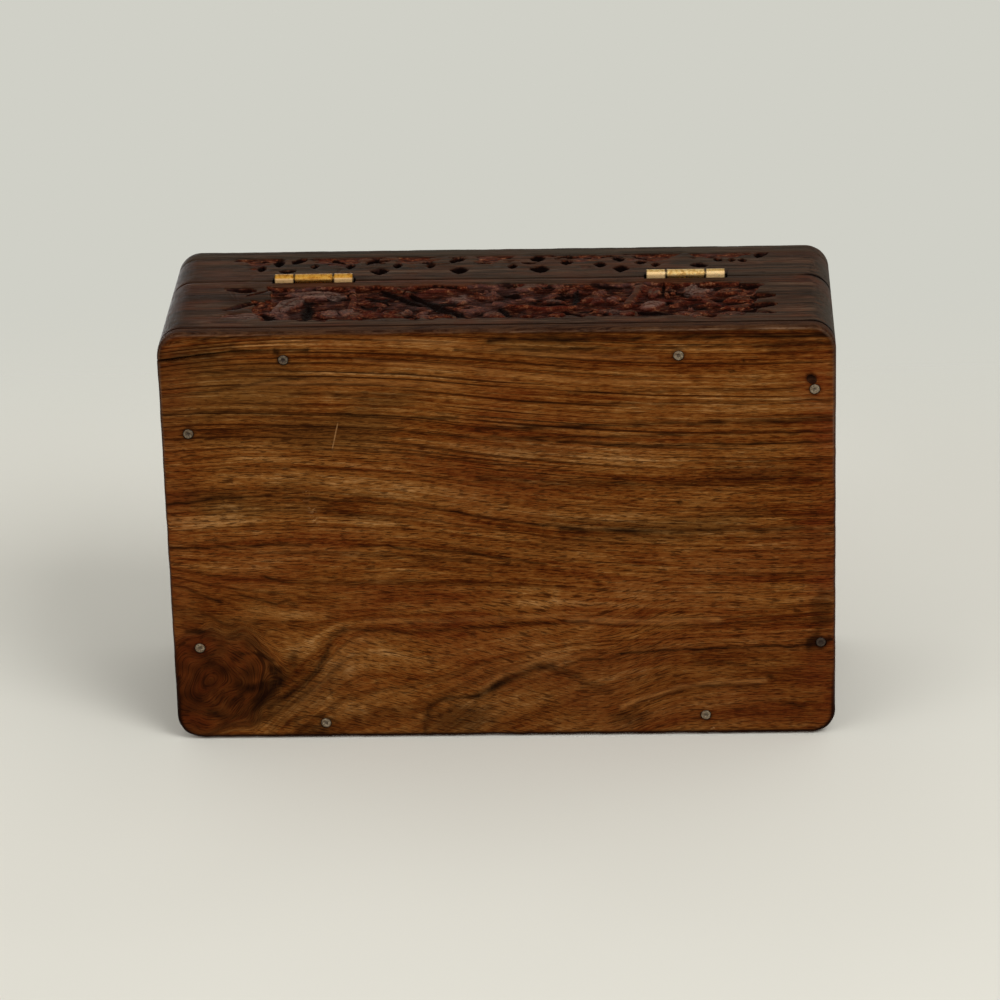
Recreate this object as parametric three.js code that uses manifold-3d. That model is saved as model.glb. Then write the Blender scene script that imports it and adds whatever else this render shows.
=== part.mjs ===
// A hand-made hardwood trinket box. The body is four walls on a nailed base board, and the lid is
// four rims under a top board. Two small brass butt hinges, let into the back of both, join them.
// Millimetres: X runs along the box, Y from its front to its back, Z up. The origin is the centre
// of the base board's underside.

import * as THREE from "three";
import { mergeVertices } from "three/addons/utils/BufferGeometryUtils.js";
import Module from "manifold-3d";

const wasm = await Module();
wasm.setup();

// The box
const boxLength = 203;
const boxDepth = 134;
const bodyHeight = 44.4;
const lidHeight = 28.3;
const seamGap = 0.3;
const wallThickness = 12;
const baseThickness = 4.5;
const lidBoardThickness = 7;
const glueLine = 0.2;

// Rounding of the upright corners, of the base's lower edge and of the lid's upper edge
const cornerRadius = 7.5;
const baseEdgeRadius = 1;
const lidEdgeRadius = 2;

// The hinges: their centres lie this far in from the ends, and the pin this far behind the back
const hingeInset = 44.5;
const hingeLength = 24;
const hingeProud = 0.7;
const barrelRadius = 1.5;
const leafThickness = 0.8;
const leafMargin = 3.7;
const leafSeat = 0.2;
const knuckleGap = 0.3;
const pocketEndGap = 0.7;
const pinRadius = 0.6;
const pinClearance = 0.1;
const middleKnuckleShare = 0.5;

// The hinge screws: countersunk and slotted, two to a leaf, each set in from the leaf's end
const screwEndInset = 5;
const screwLength = 8;
const screwHeadRadius = 1.6;
const screwShankRadius = 0.9;
const screwHeadHeight = 0.7;
const screwPointLength = 2;
const screwClearance = 0.15;
const slotWidth = 0.5;
const slotDepth = 0.35;

// The base nails, with a punched dimple in each head
const nailLength = 20;
const nailHeadRadius = 1.6;
const nailHeadThickness = 0.8;
const nailShankRadius = 0.8;
const nailPointLength = 2.5;
const nailClearance = 0.2;
const nailSink = 0.05;
const dimpleRadius = 0.7;
const dimpleDepth = 0.25;

// Places of the nails: along each wall from its middle, as a share of half the inside, and in
// from the outer face, as a share of the wall. They are hand-driven, so no two match.
const nailShares = [
  { wall: "back", along: 0.71, inset: 0.74 },
  { wall: "back", along: -0.61, inset: 0.75 },
  { wall: "left", along: 0.85, inset: 0.53 },
  { wall: "left", along: -0.66, inset: 0.37 },
  { wall: "front", along: -0.69, inset: 0.54 },
  { wall: "front", along: 0.62, inset: 0.41 },
  { wall: "right", along: -0.66, inset: 0.68 },
  { wall: "right", along: 0.63, inset: 0.69 },
];

// The carving of the lid's top: a panel sunk inside a plain margin, with these forms left standing
const panelMargin = 21.5;
const carvingDepth = 1.2;
const medallionRadius = 22.7;
const medallionRim = 2.4;
const starPoints = 12;
const starWaistShare = 0.57;
const stemWidth = 2.2;
const leafLength = 12;
const leafWidth = 5.4;
const budLength = 9;
const budWidth = 4;
const sideFlowerRadius = 6.2;
const sprayFlowerRadius = 5.4;
const smallFlowerRadius = 4.4;

// Places in the panel, as shares of its half length and half depth, and turns in degrees. They are
// for the quarter towards the back and the right, and the others mirror it. The leaves of a spray
// have their places as shares of its stem, and their turns from the stem's direction there.
const sprayStemShares = [[0.23, 0.24], [0.35, 1.75], [0.73, -0.55], [0.825, 0.72]];
const sprayLeafShares = [0.16, 0.3, 0.43, 0.56, 0.7, 0.84];
const sprayLeafTurns = [48, -48, 48, -48, 80, -48];
const sprayBudTurns = [115, 35, -30];
const sideFlowerShares = [0.875, 0];
const sideBudTurns = [60, 120, 180];
const smallFlowerShares = [0.6, 0];
const sideFanShares = [0.31, 0];
const sideFanTurns = [0, 38];
const endFanShares = [0, 0.56];
const endFanTurns = [42, 90];

// How finely round forms are faceted, how far a cutter runs past what it cuts, and how close two
// vertices are when they are taken as one
const cornerSteps = 4;
const leafSteps = 3;
const stemSteps = 12;
const flowerSides = 8;
const medallionSteps = 24;
const edgeSteps = 3;
const roundSteps = 16;
const eyeSteps = 12;
const overrun = 1;
const weldDistance = 1e-4;

// Sizes and places that follow
const insideLength = boxLength - 2 * wallThickness;
const insideDepth = boxDepth - 2 * wallThickness;
const wallFoot = baseThickness + glueLine;
const wallHeight = bodyHeight - wallFoot;
const lidFoot = bodyHeight + seamGap;
const rimHeight = lidHeight - lidBoardThickness - glueLine;
const hingeX = boxLength / 2 - hingeInset;
const axisY = boxDepth / 2 + hingeProud;
const axisZ = bodyHeight + seamGap / 2;
const leafReach = wallThickness - leafMargin + hingeProud;
const knuckleReach = barrelRadius + knuckleGap;
const screwRow = (knuckleReach + leafReach) / 2;
const pocketHalfHeight = barrelRadius + leafSeat;
const panelHalfLength = boxLength / 2 - panelMargin;
const panelHalfDepth = boxDepth / 2 - panelMargin;

const colours = {
  wood: { color: 0x5f3715, roughness: 0.55, metalness: 0 },
  darkWood: { color: 0x3e2d23, roughness: 0.5, metalness: 0 },
  brass: { color: 0xc8a050, roughness: 0.3, metalness: 1 },
  steel: { color: 0x8f8d86, roughness: 0.45, metalness: 1 },
};

const box = new THREE.Group();
const body = new THREE.Group();
const lid = new THREE.Group();
lid.position.set(0, axisY, axisZ);
box.add(body, lid);

// Closed three.js geometry as a solid that can be cut, and back again.
function solidFrom(geometry) {
  const bare = geometry.clone();
  bare.deleteAttribute("normal");
  bare.deleteAttribute("uv");
  const welded = mergeVertices(bare, weldDistance);
  return new wasm.Manifold(
    new wasm.Mesh({
      numProp: 3,
      vertProperties: welded.attributes.position.array,
      triVerts: new Uint32Array(welded.index.array),
    }),
  );
}

function geometryFrom(solid) {
  const mesh = solid.getMesh();
  const indexed = new THREE.BufferGeometry();
  indexed.setAttribute("position", new THREE.BufferAttribute(mesh.vertProperties, 3));
  indexed.setIndex(new THREE.BufferAttribute(mesh.triVerts, 1));
  const flat = indexed.toNonIndexed();
  flat.computeVertexNormals();
  return flat;
}

// Takes cutters, which are meshes placed in the box's frame, out of a mesh placed anywhere in it.
function cut(mesh, cutters) {
  box.updateMatrixWorld(true);
  const toMesh = mesh.matrixWorld.clone().invert();
  let solid = solidFrom(mesh.geometry);
  for (const cutter of cutters) {
    cutter.updateMatrixWorld(true);
    const placed = cutter.geometry.clone();
    placed.applyMatrix4(cutter.matrixWorld.clone().premultiply(toMesh));
    solid = solid.subtract(solidFrom(placed));
  }
  mesh.geometry = geometryFrom(solid);
}

// A named mesh whose place is given in the box's frame, whichever group carries it.
function piece(group, name, geometry, look, x, y, z) {
  const mesh = new THREE.Mesh(geometry, new THREE.MeshStandardMaterial(colours[look]));
  mesh.name = name;
  mesh.position.set(x, y, z).sub(group.position);
  group.add(mesh);
  return mesh;
}

function cutter(geometry, x, y, z) {
  const mesh = new THREE.Mesh(geometry);
  mesh.position.set(x, y, z);
  return mesh;
}

// A flat board of the box's outline with its lower edge eased. It lies on z = 0.
function easedBoard(thickness, edgeRadius) {
  const x = boxLength / 2 - cornerRadius;
  const y = boxDepth / 2 - cornerRadius;
  const outline = new THREE.Shape();
  outline.absarc(x, y, cornerRadius, 0, Math.PI / 2);
  outline.absarc(-x, y, cornerRadius, Math.PI / 2, Math.PI);
  outline.absarc(-x, -y, cornerRadius, Math.PI, 1.5 * Math.PI);
  outline.absarc(x, -y, cornerRadius, 1.5 * Math.PI, 2 * Math.PI);
  const full = new THREE.ExtrudeGeometry(outline, {
    depth: thickness,
    curveSegments: cornerSteps,
    bevelThickness: edgeRadius,
    bevelSize: edgeRadius,
    bevelOffset: -edgeRadius,
    bevelSegments: edgeSteps,
  });
  full.translate(0, 0, edgeRadius);
  const above = edgeRadius * 2 + overrun;
  const trim = new THREE.BoxGeometry(boxLength + 2 * overrun, boxDepth + 2 * overrun, above);
  trim.translate(0, 0, thickness + above / 2);
  return geometryFrom(solidFrom(full).subtract(solidFrom(trim)));
}

// A long wall stands on z = 0 with its inner face on y = 0 and its two outer corners rounded.
function longWall(height) {
  const half = boxLength / 2;
  const roundX = half - cornerRadius;
  const roundY = wallThickness - cornerRadius;
  const outline = new THREE.Shape();
  outline.moveTo(-half, 0);
  outline.lineTo(half, 0);
  outline.absarc(roundX, roundY, cornerRadius, 0, Math.PI / 2);
  outline.absarc(-roundX, roundY, cornerRadius, Math.PI / 2, Math.PI);
  outline.closePath();
  return new THREE.ExtrudeGeometry(outline, {
    depth: height,
    curveSegments: cornerSteps,
    bevelEnabled: false,
  });
}

// A short wall stands on z = 0 between the long ones, centred on its own place.
function shortWall(height) {
  const wall = new THREE.BoxGeometry(wallThickness, insideDepth - 2 * glueLine, height);
  return wall.translate(0, 0, height / 2);
}

// A form that stays standing in the panel, from its outline. It runs past the ground both ways.
function standing(outline) {
  const form = new THREE.ExtrudeGeometry(outline, {
    depth: carvingDepth + 3 * overrun,
    curveSegments: leafSteps,
    bevelEnabled: false,
  });
  return solidFrom(form.translate(0, 0, -overrun));
}

function roundForm(x, y, radius, sides) {
  const form = new THREE.CylinderGeometry(radius, radius, carvingDepth + 4 * overrun, sides);
  return solidFrom(form.rotateX(Math.PI / 2).translate(x, y, carvingDepth / 2));
}

// A pointed leaf from its foot along a direction.
function leafForm(foot, direction, length, width) {
  const side = new THREE.Vector2(-direction.y, direction.x).multiplyScalar(width);
  const tip = foot.clone().addScaledVector(direction, length);
  const middle = foot.clone().addScaledVector(direction, length / 2);
  const outline = new THREE.Shape();
  outline.moveTo(foot.x, foot.y);
  outline.quadraticCurveTo(middle.x + side.x, middle.y + side.y, tip.x, tip.y);
  outline.quadraticCurveTo(middle.x - side.x, middle.y - side.y, foot.x, foot.y);
  return standing(outline);
}

function stemForm(curve) {
  const left = [];
  const right = [];
  for (let step = 0; step <= stemSteps; step += 1) {
    const along = curve.getTangent(step / stemSteps);
    const side = new THREE.Vector2(-along.y, along.x).multiplyScalar(stemWidth / 2);
    const point = curve.getPoint(step / stemSteps);
    left.push(point.clone().add(side));
    right.unshift(point.clone().sub(side));
  }
  return standing(new THREE.Shape([...left, ...right]));
}

function starForm() {
  const reach = medallionRadius - medallionRim / 2;
  const points = [];
  for (let step = 0; step < 2 * starPoints; step += 1) {
    const radius = step % 2 === 0 ? reach : starWaistShare * reach;
    const angle = (step * Math.PI) / starPoints;
    points.push(new THREE.Vector2(radius * Math.cos(angle), radius * Math.sin(angle)));
  }
  return standing(new THREE.Shape(points));
}

// The forms of one quarter of the panel. wayX and wayY are 1 or -1 and choose the quarter.
function quarterForms(wayX, wayY) {
  const placed = ([x, y]) =>
    new THREE.Vector2(wayX * x * panelHalfLength, wayY * y * panelHalfDepth);
  const headed = (degrees) => {
    const angle = (degrees * Math.PI) / 180;
    return new THREE.Vector2(wayX * Math.cos(angle), wayY * Math.sin(angle));
  };
  const forms = [];
  const blossom = (place, radius, turns) => {
    const middle = placed(place);
    forms.push(roundForm(middle.x, middle.y, radius, flowerSides));
    for (const degrees of turns) {
      const foot = middle.clone().addScaledVector(headed(degrees), radius / 2);
      forms.push(leafForm(foot, headed(degrees), budLength, budWidth));
    }
  };
  const fan = (place, turns) => {
    for (const degrees of turns) {
      forms.push(leafForm(placed(place), headed(degrees), leafLength, leafWidth));
    }
  };

  const stem = new THREE.CubicBezierCurve(...sprayStemShares.map(placed));
  forms.push(stemForm(stem));
  sprayLeafShares.forEach((share, index) => {
    const turn = (wayX * wayY * sprayLeafTurns[index] * Math.PI) / 180;
    const direction = stem.getTangent(share).rotateAround(new THREE.Vector2(), turn);
    forms.push(leafForm(stem.getPoint(share), direction, leafLength, leafWidth));
  });
  blossom(sprayStemShares[3], sprayFlowerRadius, sprayBudTurns);
  blossom(sideFlowerShares, sideFlowerRadius, sideBudTurns);
  blossom(smallFlowerShares, smallFlowerRadius, []);
  fan(sideFanShares, sideFanTurns);
  fan(endFanShares, endFanTurns);
  return forms;
}

// What is cut away in the panel: its field less the standing forms. Its floor is on z = 0.
function carvedGround() {
  const height = carvingDepth + overrun;
  const field = new THREE.BoxGeometry(2 * panelHalfLength, 2 * panelHalfDepth, height);
  const inner = roundForm(0, 0, medallionRadius - medallionRim, medallionSteps);
  let ground = solidFrom(field.translate(0, 0, height / 2));
  const well = ground.intersect(inner).subtract(starForm());
  ground = ground.subtract(roundForm(0, 0, medallionRadius, medallionSteps));
  for (const wayX of [1, -1]) {
    for (const wayY of [1, -1]) {
      for (const form of quarterForms(wayX, wayY)) {
        ground = ground.subtract(form);
      }
    }
  }
  return geometryFrom(ground.add(well));
}

// Four walls of one height round the inside, from a foot upwards.
function ring(group, names, height, foot) {
  const longY = insideDepth / 2;
  const shortX = (insideLength + wallThickness) / 2;
  const front = piece(group, names.front, longWall(height), "darkWood", 0, -longY, foot);
  front.rotation.z = Math.PI;
  const back = piece(group, names.back, longWall(height), "darkWood", 0, longY, foot);
  const left = piece(group, names.left, shortWall(height), "darkWood", -shortX, 0, foot);
  const right = piece(group, names.right, shortWall(height), "darkWood", shortX, 0, foot);
  return { front, back, left, right };
}

// A turned form about Z from a profile of [radius, height] pairs that starts and ends on the axis.
function turned(profile) {
  const points = profile.map(([radius, height]) => new THREE.Vector2(radius, height));
  return new THREE.LatheGeometry(points, roundSteps).rotateX(Math.PI / 2);
}

function nail() {
  return turned([
    [0, dimpleDepth],
    [dimpleRadius, 0],
    [nailHeadRadius, 0],
    [nailHeadRadius, nailHeadThickness],
    [nailShankRadius, nailHeadThickness],
    [nailShankRadius, nailLength - nailPointLength],
    [0, nailLength],
  ]);
}

function nailHole() {
  const headRadius = nailHeadRadius + nailClearance;
  const shankRadius = nailShankRadius + nailClearance;
  return turned([
    [0, -overrun],
    [headRadius, -overrun],
    [headRadius, nailHeadThickness + nailClearance],
    [shankRadius, nailHeadThickness + nailClearance],
    [shankRadius, nailLength + nailClearance],
    [0, nailLength + nailClearance],
  ]);
}

// A screw points up, with the flat of its head on z = 0 and its slot along X.
function screw() {
  const form = turned([
    [0, 0],
    [screwHeadRadius, 0],
    [screwShankRadius, screwHeadHeight],
    [screwShankRadius, screwLength - screwPointLength],
    [0, screwLength],
  ]);
  const slot = new THREE.BoxGeometry(2 * (screwHeadRadius + overrun), slotWidth, 2 * slotDepth);
  return geometryFrom(solidFrom(form).subtract(solidFrom(slot)));
}

function screwHole() {
  const headRadius = screwHeadRadius + screwClearance;
  const shankRadius = screwShankRadius + screwClearance;
  return turned([
    [0, -overrun],
    [headRadius, -overrun],
    [headRadius, 0],
    [shankRadius, screwHeadHeight],
    [shankRadius, screwLength + screwClearance],
    [0, screwLength + screwClearance],
  ]);
}

// Where each nail enters the underside.
function nailPlace({ wall, along, inset }) {
  const acrossLong = boxDepth / 2 - inset * wallThickness;
  const acrossShort = boxLength / 2 - inset * wallThickness;
  const places = {
    back: [(along * insideLength) / 2, acrossLong],
    front: [(along * insideLength) / 2, -acrossLong],
    left: [-acrossShort, (along * insideDepth) / 2],
    right: [acrossShort, (along * insideDepth) / 2],
  };
  return places[wall];
}

// The strip of a leaf runs forward from the pin and is rolled round it into an eye. The pin's axis
// is X, and the strip lies below it.
function rolledLeaf() {
  const stripTop = leafThickness - barrelRadius;
  const rollEnd = Math.PI - Math.asin(stripTop / barrelRadius);
  const section = new THREE.Shape();
  section.moveTo(-leafReach, -barrelRadius);
  section.absarc(0, 0, barrelRadius, -Math.PI / 2, rollEnd);
  section.lineTo(-leafReach, stripTop);
  section.closePath();
  const eye = new THREE.Path();
  eye.absarc(0, 0, pinRadius + pinClearance, 0, 2 * Math.PI, true);
  section.holes.push(eye);
  const bar = new THREE.ExtrudeGeometry(section, {
    depth: hingeLength,
    curveSegments: eyeSteps,
    bevelEnabled: false,
  });
  bar.translate(0, 0, -hingeLength / 2);
  const sectionToBox = new THREE.Matrix4().makeBasis(
    new THREE.Vector3(0, 1, 0),
    new THREE.Vector3(0, 0, 1),
    new THREE.Vector3(1, 0, 0),
  );
  return bar.applyMatrix4(sectionToBox);
}

// Room round the barrel for the other leaf's knuckle, from one X to another.
function knuckleRoom(from, to) {
  const across = 2 * knuckleReach;
  return cutter(new THREE.BoxGeometry(to - from, across, across), (from + to) / 2, axisY, axisZ);
}

// A screw and its hole, head outwards on the flat of a leaf at the given level. The body's screws
// point down and the lid's point up.
function hingeScrew(group, name, x, level, pointsDown) {
  const y = axisY - screwRow;
  const fixing = piece(group, name, screw(), "brass", x, y, level);
  const hole = cutter(screwHole(), x, y, level);
  if (pointsDown) {
    fixing.rotation.x = Math.PI;
    hole.rotation.x = Math.PI;
  }
  return hole;
}

// One hinge: the body's leaf has the two outer knuckles and the lid's leaf the middle one. Each
// leaf lies in a pocket with the barrel standing out behind.
function hinge(side, x) {
  const name = side + "_hinge_";
  const middleHalf = (hingeLength * middleKnuckleShare) / 2;
  const beyond = hingeLength / 2 + overrun;
  const gap = knuckleGap / 2;
  const bodyLeaf = piece(body, name + "body_leaf", rolledLeaf(), "brass", x, axisY, axisZ);
  const lidLeaf = piece(lid, name + "lid_leaf", rolledLeaf(), "brass", x, axisY, axisZ);
  lidLeaf.rotation.y = Math.PI;
  cut(bodyLeaf, [knuckleRoom(x - middleHalf - gap, x + middleHalf + gap)]);
  cut(lidLeaf, [
    knuckleRoom(x - beyond, x - middleHalf + gap),
    knuckleRoom(x + middleHalf - gap, x + beyond),
  ]);

  const pin = new THREE.CylinderGeometry(pinRadius, pinRadius, hingeLength, roundSteps);
  piece(body, name + "pin", pin.rotateZ(Math.PI / 2), "brass", x, axisY, axisZ);

  const pocketDepth = leafReach + leafSeat + overrun;
  const pocket = cutter(
    new THREE.BoxGeometry(hingeLength + 2 * pocketEndGap, pocketDepth, 2 * pocketHalfHeight),
    x,
    axisY + overrun - pocketDepth / 2,
    axisZ,
  );
  const flat = barrelRadius - leafThickness;
  const bodyHoles = [];
  const lidHoles = [];
  for (const [number, way] of [[1, -1], [2, 1]]) {
    const screwX = x + way * (hingeLength / 2 - screwEndInset);
    bodyHoles.push(hingeScrew(body, name + "body_screw_" + number, screwX, axisZ - flat, true));
    lidHoles.push(hingeScrew(lid, name + "lid_screw_" + number, screwX, axisZ + flat, false));
  }
  cut(bodyLeaf, bodyHoles);
  cut(lidLeaf, lidHoles);
  cut(walls.back, [pocket, ...bodyHoles]);
  cut(rims.back, [pocket, ...lidHoles]);
}

const wallNames = {
  front: "front_wall",
  back: "back_wall",
  left: "left_wall",
  right: "right_wall",
};
const rimNames = {
  front: "lid_front_rim",
  back: "lid_back_rim",
  left: "lid_left_rim",
  right: "lid_right_rim",
};

const base = piece(body, "base_board", easedBoard(baseThickness, baseEdgeRadius), "wood", 0, 0, 0);
const walls = ring(body, wallNames, wallHeight, wallFoot);
const rims = ring(lid, rimNames, rimHeight, lidFoot);
const lidTop = lidFoot + lidHeight;
const lidPlank = easedBoard(lidBoardThickness, lidEdgeRadius);
const lidBoard = piece(lid, "lid_board", lidPlank, "darkWood", 0, 0, lidTop);
lidBoard.rotation.x = Math.PI;
cut(lidBoard, [cutter(carvedGround(), 0, 0, lidTop - carvingDepth)]);

nailShares.forEach((share, index) => {
  const [x, y] = nailPlace(share);
  piece(body, "base_nail_" + (index + 1), nail(), "steel", x, y, nailSink);
  const hole = cutter(nailHole(), x, y, nailSink);
  cut(base, [hole]);
  cut(walls[share.wall], [hole]);
});

hinge("left", -hingeX);
hinge("right", hingeX);

export default box;
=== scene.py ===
"""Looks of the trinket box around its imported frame. Lengths are in millimetres until a mesh is made."""

import math

import bpy
import bmesh
import numpy as np
from mathutils import Matrix, Vector


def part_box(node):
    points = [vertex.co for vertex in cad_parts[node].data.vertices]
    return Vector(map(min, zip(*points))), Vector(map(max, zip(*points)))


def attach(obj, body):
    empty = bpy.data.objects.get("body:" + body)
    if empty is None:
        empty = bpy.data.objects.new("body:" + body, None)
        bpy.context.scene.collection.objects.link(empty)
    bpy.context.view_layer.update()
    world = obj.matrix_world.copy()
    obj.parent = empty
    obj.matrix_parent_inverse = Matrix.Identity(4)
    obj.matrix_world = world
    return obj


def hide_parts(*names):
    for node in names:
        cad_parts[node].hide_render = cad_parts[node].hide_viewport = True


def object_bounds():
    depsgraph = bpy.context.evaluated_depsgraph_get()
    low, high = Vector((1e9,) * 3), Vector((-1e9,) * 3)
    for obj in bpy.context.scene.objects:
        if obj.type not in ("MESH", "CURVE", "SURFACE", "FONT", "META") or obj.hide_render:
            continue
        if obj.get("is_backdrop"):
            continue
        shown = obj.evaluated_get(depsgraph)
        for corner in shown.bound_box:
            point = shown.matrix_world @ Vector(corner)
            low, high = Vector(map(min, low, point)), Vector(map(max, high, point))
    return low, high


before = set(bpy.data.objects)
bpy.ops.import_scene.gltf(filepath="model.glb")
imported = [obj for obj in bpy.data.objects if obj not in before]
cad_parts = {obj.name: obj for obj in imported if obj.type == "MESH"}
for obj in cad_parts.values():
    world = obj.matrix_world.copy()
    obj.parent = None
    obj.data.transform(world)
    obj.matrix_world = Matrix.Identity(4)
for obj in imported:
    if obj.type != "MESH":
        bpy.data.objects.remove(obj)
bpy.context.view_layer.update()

MM = 0.001

# The box as the frame has it
HALF_LENGTH = 101.5
HALF_DEPTH = 67.0
WALL = 12.0
CORNER = 7.5
BASE_TOP = 4.5
BODY_FOOT, BODY_TOP = 4.7, 44.4
RIM_FOOT, RIM_TOP = 44.7, 65.8
BOARD_FOOT, BOARD_TOP = 66.0, 73.0
SHORT_END = 54.8
INNER_X = HALF_LENGTH - WALL
INNER_Y = HALF_DEPTH - WALL
STRAIGHT_X = HALF_LENGTH - CORNER
STRAIGHT_Y = HALF_DEPTH - CORNER

# The hinges
HINGE_X = 57.0
AXIS_Y, AXIS_Z = 67.7, 44.55
HINGE_HALF = 12.0
BARREL = 1.5
LEAF = 0.8
LEAF_REACH = 9.0
EYE = 0.7
PIN = 0.6
KNUCKLE_GAP = 0.3
POCKET_END = 0.7
POCKET_SEAT = 0.2
SCREW_APART = 14.0

# How finely the carved faces are modelled
CARVING_STEP = 0.42
CORNER_STEPS = 14
THINNED_TO = 0.55
LID_CARVED_X, LID_CARVED_Y = 91.5, 57.0

# How near the outer face a point lies to take its carving's colours
FACE_SKIN = 2.6

# The light scratch on the base: the way across it and how far it is from the origin
SCRATCH_NORMAL = (0.973, 0.23, 0.0)
SCRATCH_AWAY = 55.31


def tint(red, green, blue):
    """A screen colour, 0 to 255, as the linear colour a shader takes."""
    shares = [value / 255 for value in (red, green, blue)]
    return tuple(c / 12.92 if c <= 0.04045 else ((c + 0.055) / 1.055) ** 2.4 for c in shares) + (1.0,)


def smooth(value, low, high):
    """0 below low, 1 above high, with an even turn between them."""
    share = np.clip((value - low) / (high - low), 0.0, 1.0)
    return share * share * (3 - 2 * share)


def ripple(x, y, size, seed):
    """Smooth unevenness of about -1 to 1, with bumps of about the given size."""
    draw = np.random.default_rng(seed)
    total = 0.0
    for _ in range(8):
        turn = draw.uniform(0, 2 * math.pi)
        pitch = draw.uniform(0.55, 1.6) * math.pi / size
        total = total + np.sin((x * math.cos(turn) + y * math.sin(turn)) * pitch + draw.uniform(0, 6.3))
    return total / 3.2


def hump(value, width):
    """1 where the value is 0, falling away over about the given width."""
    return np.exp(-((value / width) ** 2))


def toward(degrees):
    """The cosine and sine of a direction."""
    return math.cos(math.radians(degrees)), math.sin(math.radians(degrees))


def distance_to(x, y, line):
    """How far each point is from a broken line."""
    best = np.full(np.broadcast(x, y).shape, 1e9)
    for (x0, y0), (x1, y1) in zip(line, line[1:]):
        dx, dy = x1 - x0, y1 - y0
        share = np.clip(((x - x0) * dx + (y - y0) * dy) / (dx * dx + dy * dy), 0, 1)
        best = np.minimum(best, np.hypot(x - x0 - share * dx, y - y0 - share * dy))
    return best


# Materials


class Shader:
    """The nodes of a material or a world in short calls. Each call gives back the socket that it makes."""

    def __init__(self, owner):
        owner.use_nodes = True
        self.owner = owner
        self.nodes = owner.node_tree.nodes
        self.links = owner.node_tree.links
        self.surface = self.nodes.get("Principled BSDF")

    def put(self, socket, value):
        if isinstance(value, bpy.types.NodeSocket):
            self.links.new(value, socket)
        else:
            socket.default_value = value

    def add(self, kind, inputs=None, out=0, **settings):
        made = self.nodes.new("ShaderNode" + kind)
        for name, value in settings.items():
            setattr(made, name, value)
        for key, value in (inputs or {}).items():
            self.put(made.inputs[key], value)
        return made.outputs[out]

    def math(self, operation, first, second=0.0):
        return self.add("Math", {0: first, 1: second}, operation=operation)

    def plus(self, first, second):
        return self.math("ADD", first, second)

    def minus(self, first, second):
        return self.math("SUBTRACT", first, second)

    def times(self, first, second):
        return self.math("MULTIPLY", first, second)

    def more(self, first, second):
        return self.math("MAXIMUM", first, second)

    def weighed(self, first, *others):
        """The sum of (socket, weight) pairs."""
        total = self.times(*first)
        for term in others:
            total = self.plus(total, self.times(*term))
        return total

    def stretch(self, vector, x, y, z):
        return self.add("VectorMath", {0: vector, 1: (x, y, z)}, operation="MULTIPLY")

    def place(self):
        """Where a point is on the object, in millimetres."""
        return self.stretch(self.add("TexCoord", out="Object"), 1000.0, 1000.0, 1000.0)

    def noise(self, vector, x, y, z, detail=3.0, roughness=0.55, out=0):
        """Noise over a vector. x, y and z say how fine it is along each axis."""
        vector = self.stretch(vector, x, y, z)
        inputs = {"Vector": vector, "Scale": 1.0, "Detail": detail, "Roughness": roughness}
        return self.add("TexNoise", inputs, out)

    def step(self, value, low, high, start=0.0, end=1.0):
        inputs = {"Value": value, "From Min": low, "From Max": high, "To Min": start, "To Max": end}
        return self.add("MapRange", inputs, interpolation_type="SMOOTHSTEP")

    def ramp(self, factor, stops):
        """A colour from a number. Each stop is its place and a screen colour."""
        socket = self.add("ValToRGB", {0: factor})
        elements = socket.node.color_ramp.elements
        while len(elements) < len(stops):
            elements.new(0.5)
        for element, (place, *colour) in zip(elements, stops):
            element.position = place
            element.color = tint(*colour)
        return socket

    def mix(self, factor, first, second, way="MIX"):
        """Two colours mixed. Each is a socket or a screen colour."""
        first, second = (tint(*c) if isinstance(c, tuple) else c for c in (first, second))
        return self.add("Mix", {0: factor, 6: first, 7: second}, out=2, data_type="RGBA", blend_type=way)

    def attribute(self, name, out="Fac"):
        return self.add("Attribute", out=out, attribute_name=name)

    def warped(self, vector, pitch, reach):
        """The vector pushed about by a slow noise, so that straight grain wanders."""
        drift = self.noise(vector, *pitch, 2.0, 0.5, "Color")
        centred = self.add("VectorMath", {0: drift, 1: (0.5, 0.5, 0.5)}, operation="SUBTRACT")
        return self.add("VectorMath", {0: self.stretch(centred, *reach), 1: vector}, operation="ADD")

    def bump(self, height, distance):
        return self.add("Bump", {"Height": height, "Distance": distance, "Strength": 1.0})

    def finish(self, colour, roughness, normal=None, **plain):
        self.put(self.surface.inputs["Base Color"], colour)
        self.put(self.surface.inputs["Roughness"], roughness)
        if normal is not None:
            self.put(self.surface.inputs["Normal"], normal)
        for name, value in plain.items():
            self.surface.inputs[name.replace("_", " ")].default_value = value
        return self.owner


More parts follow.
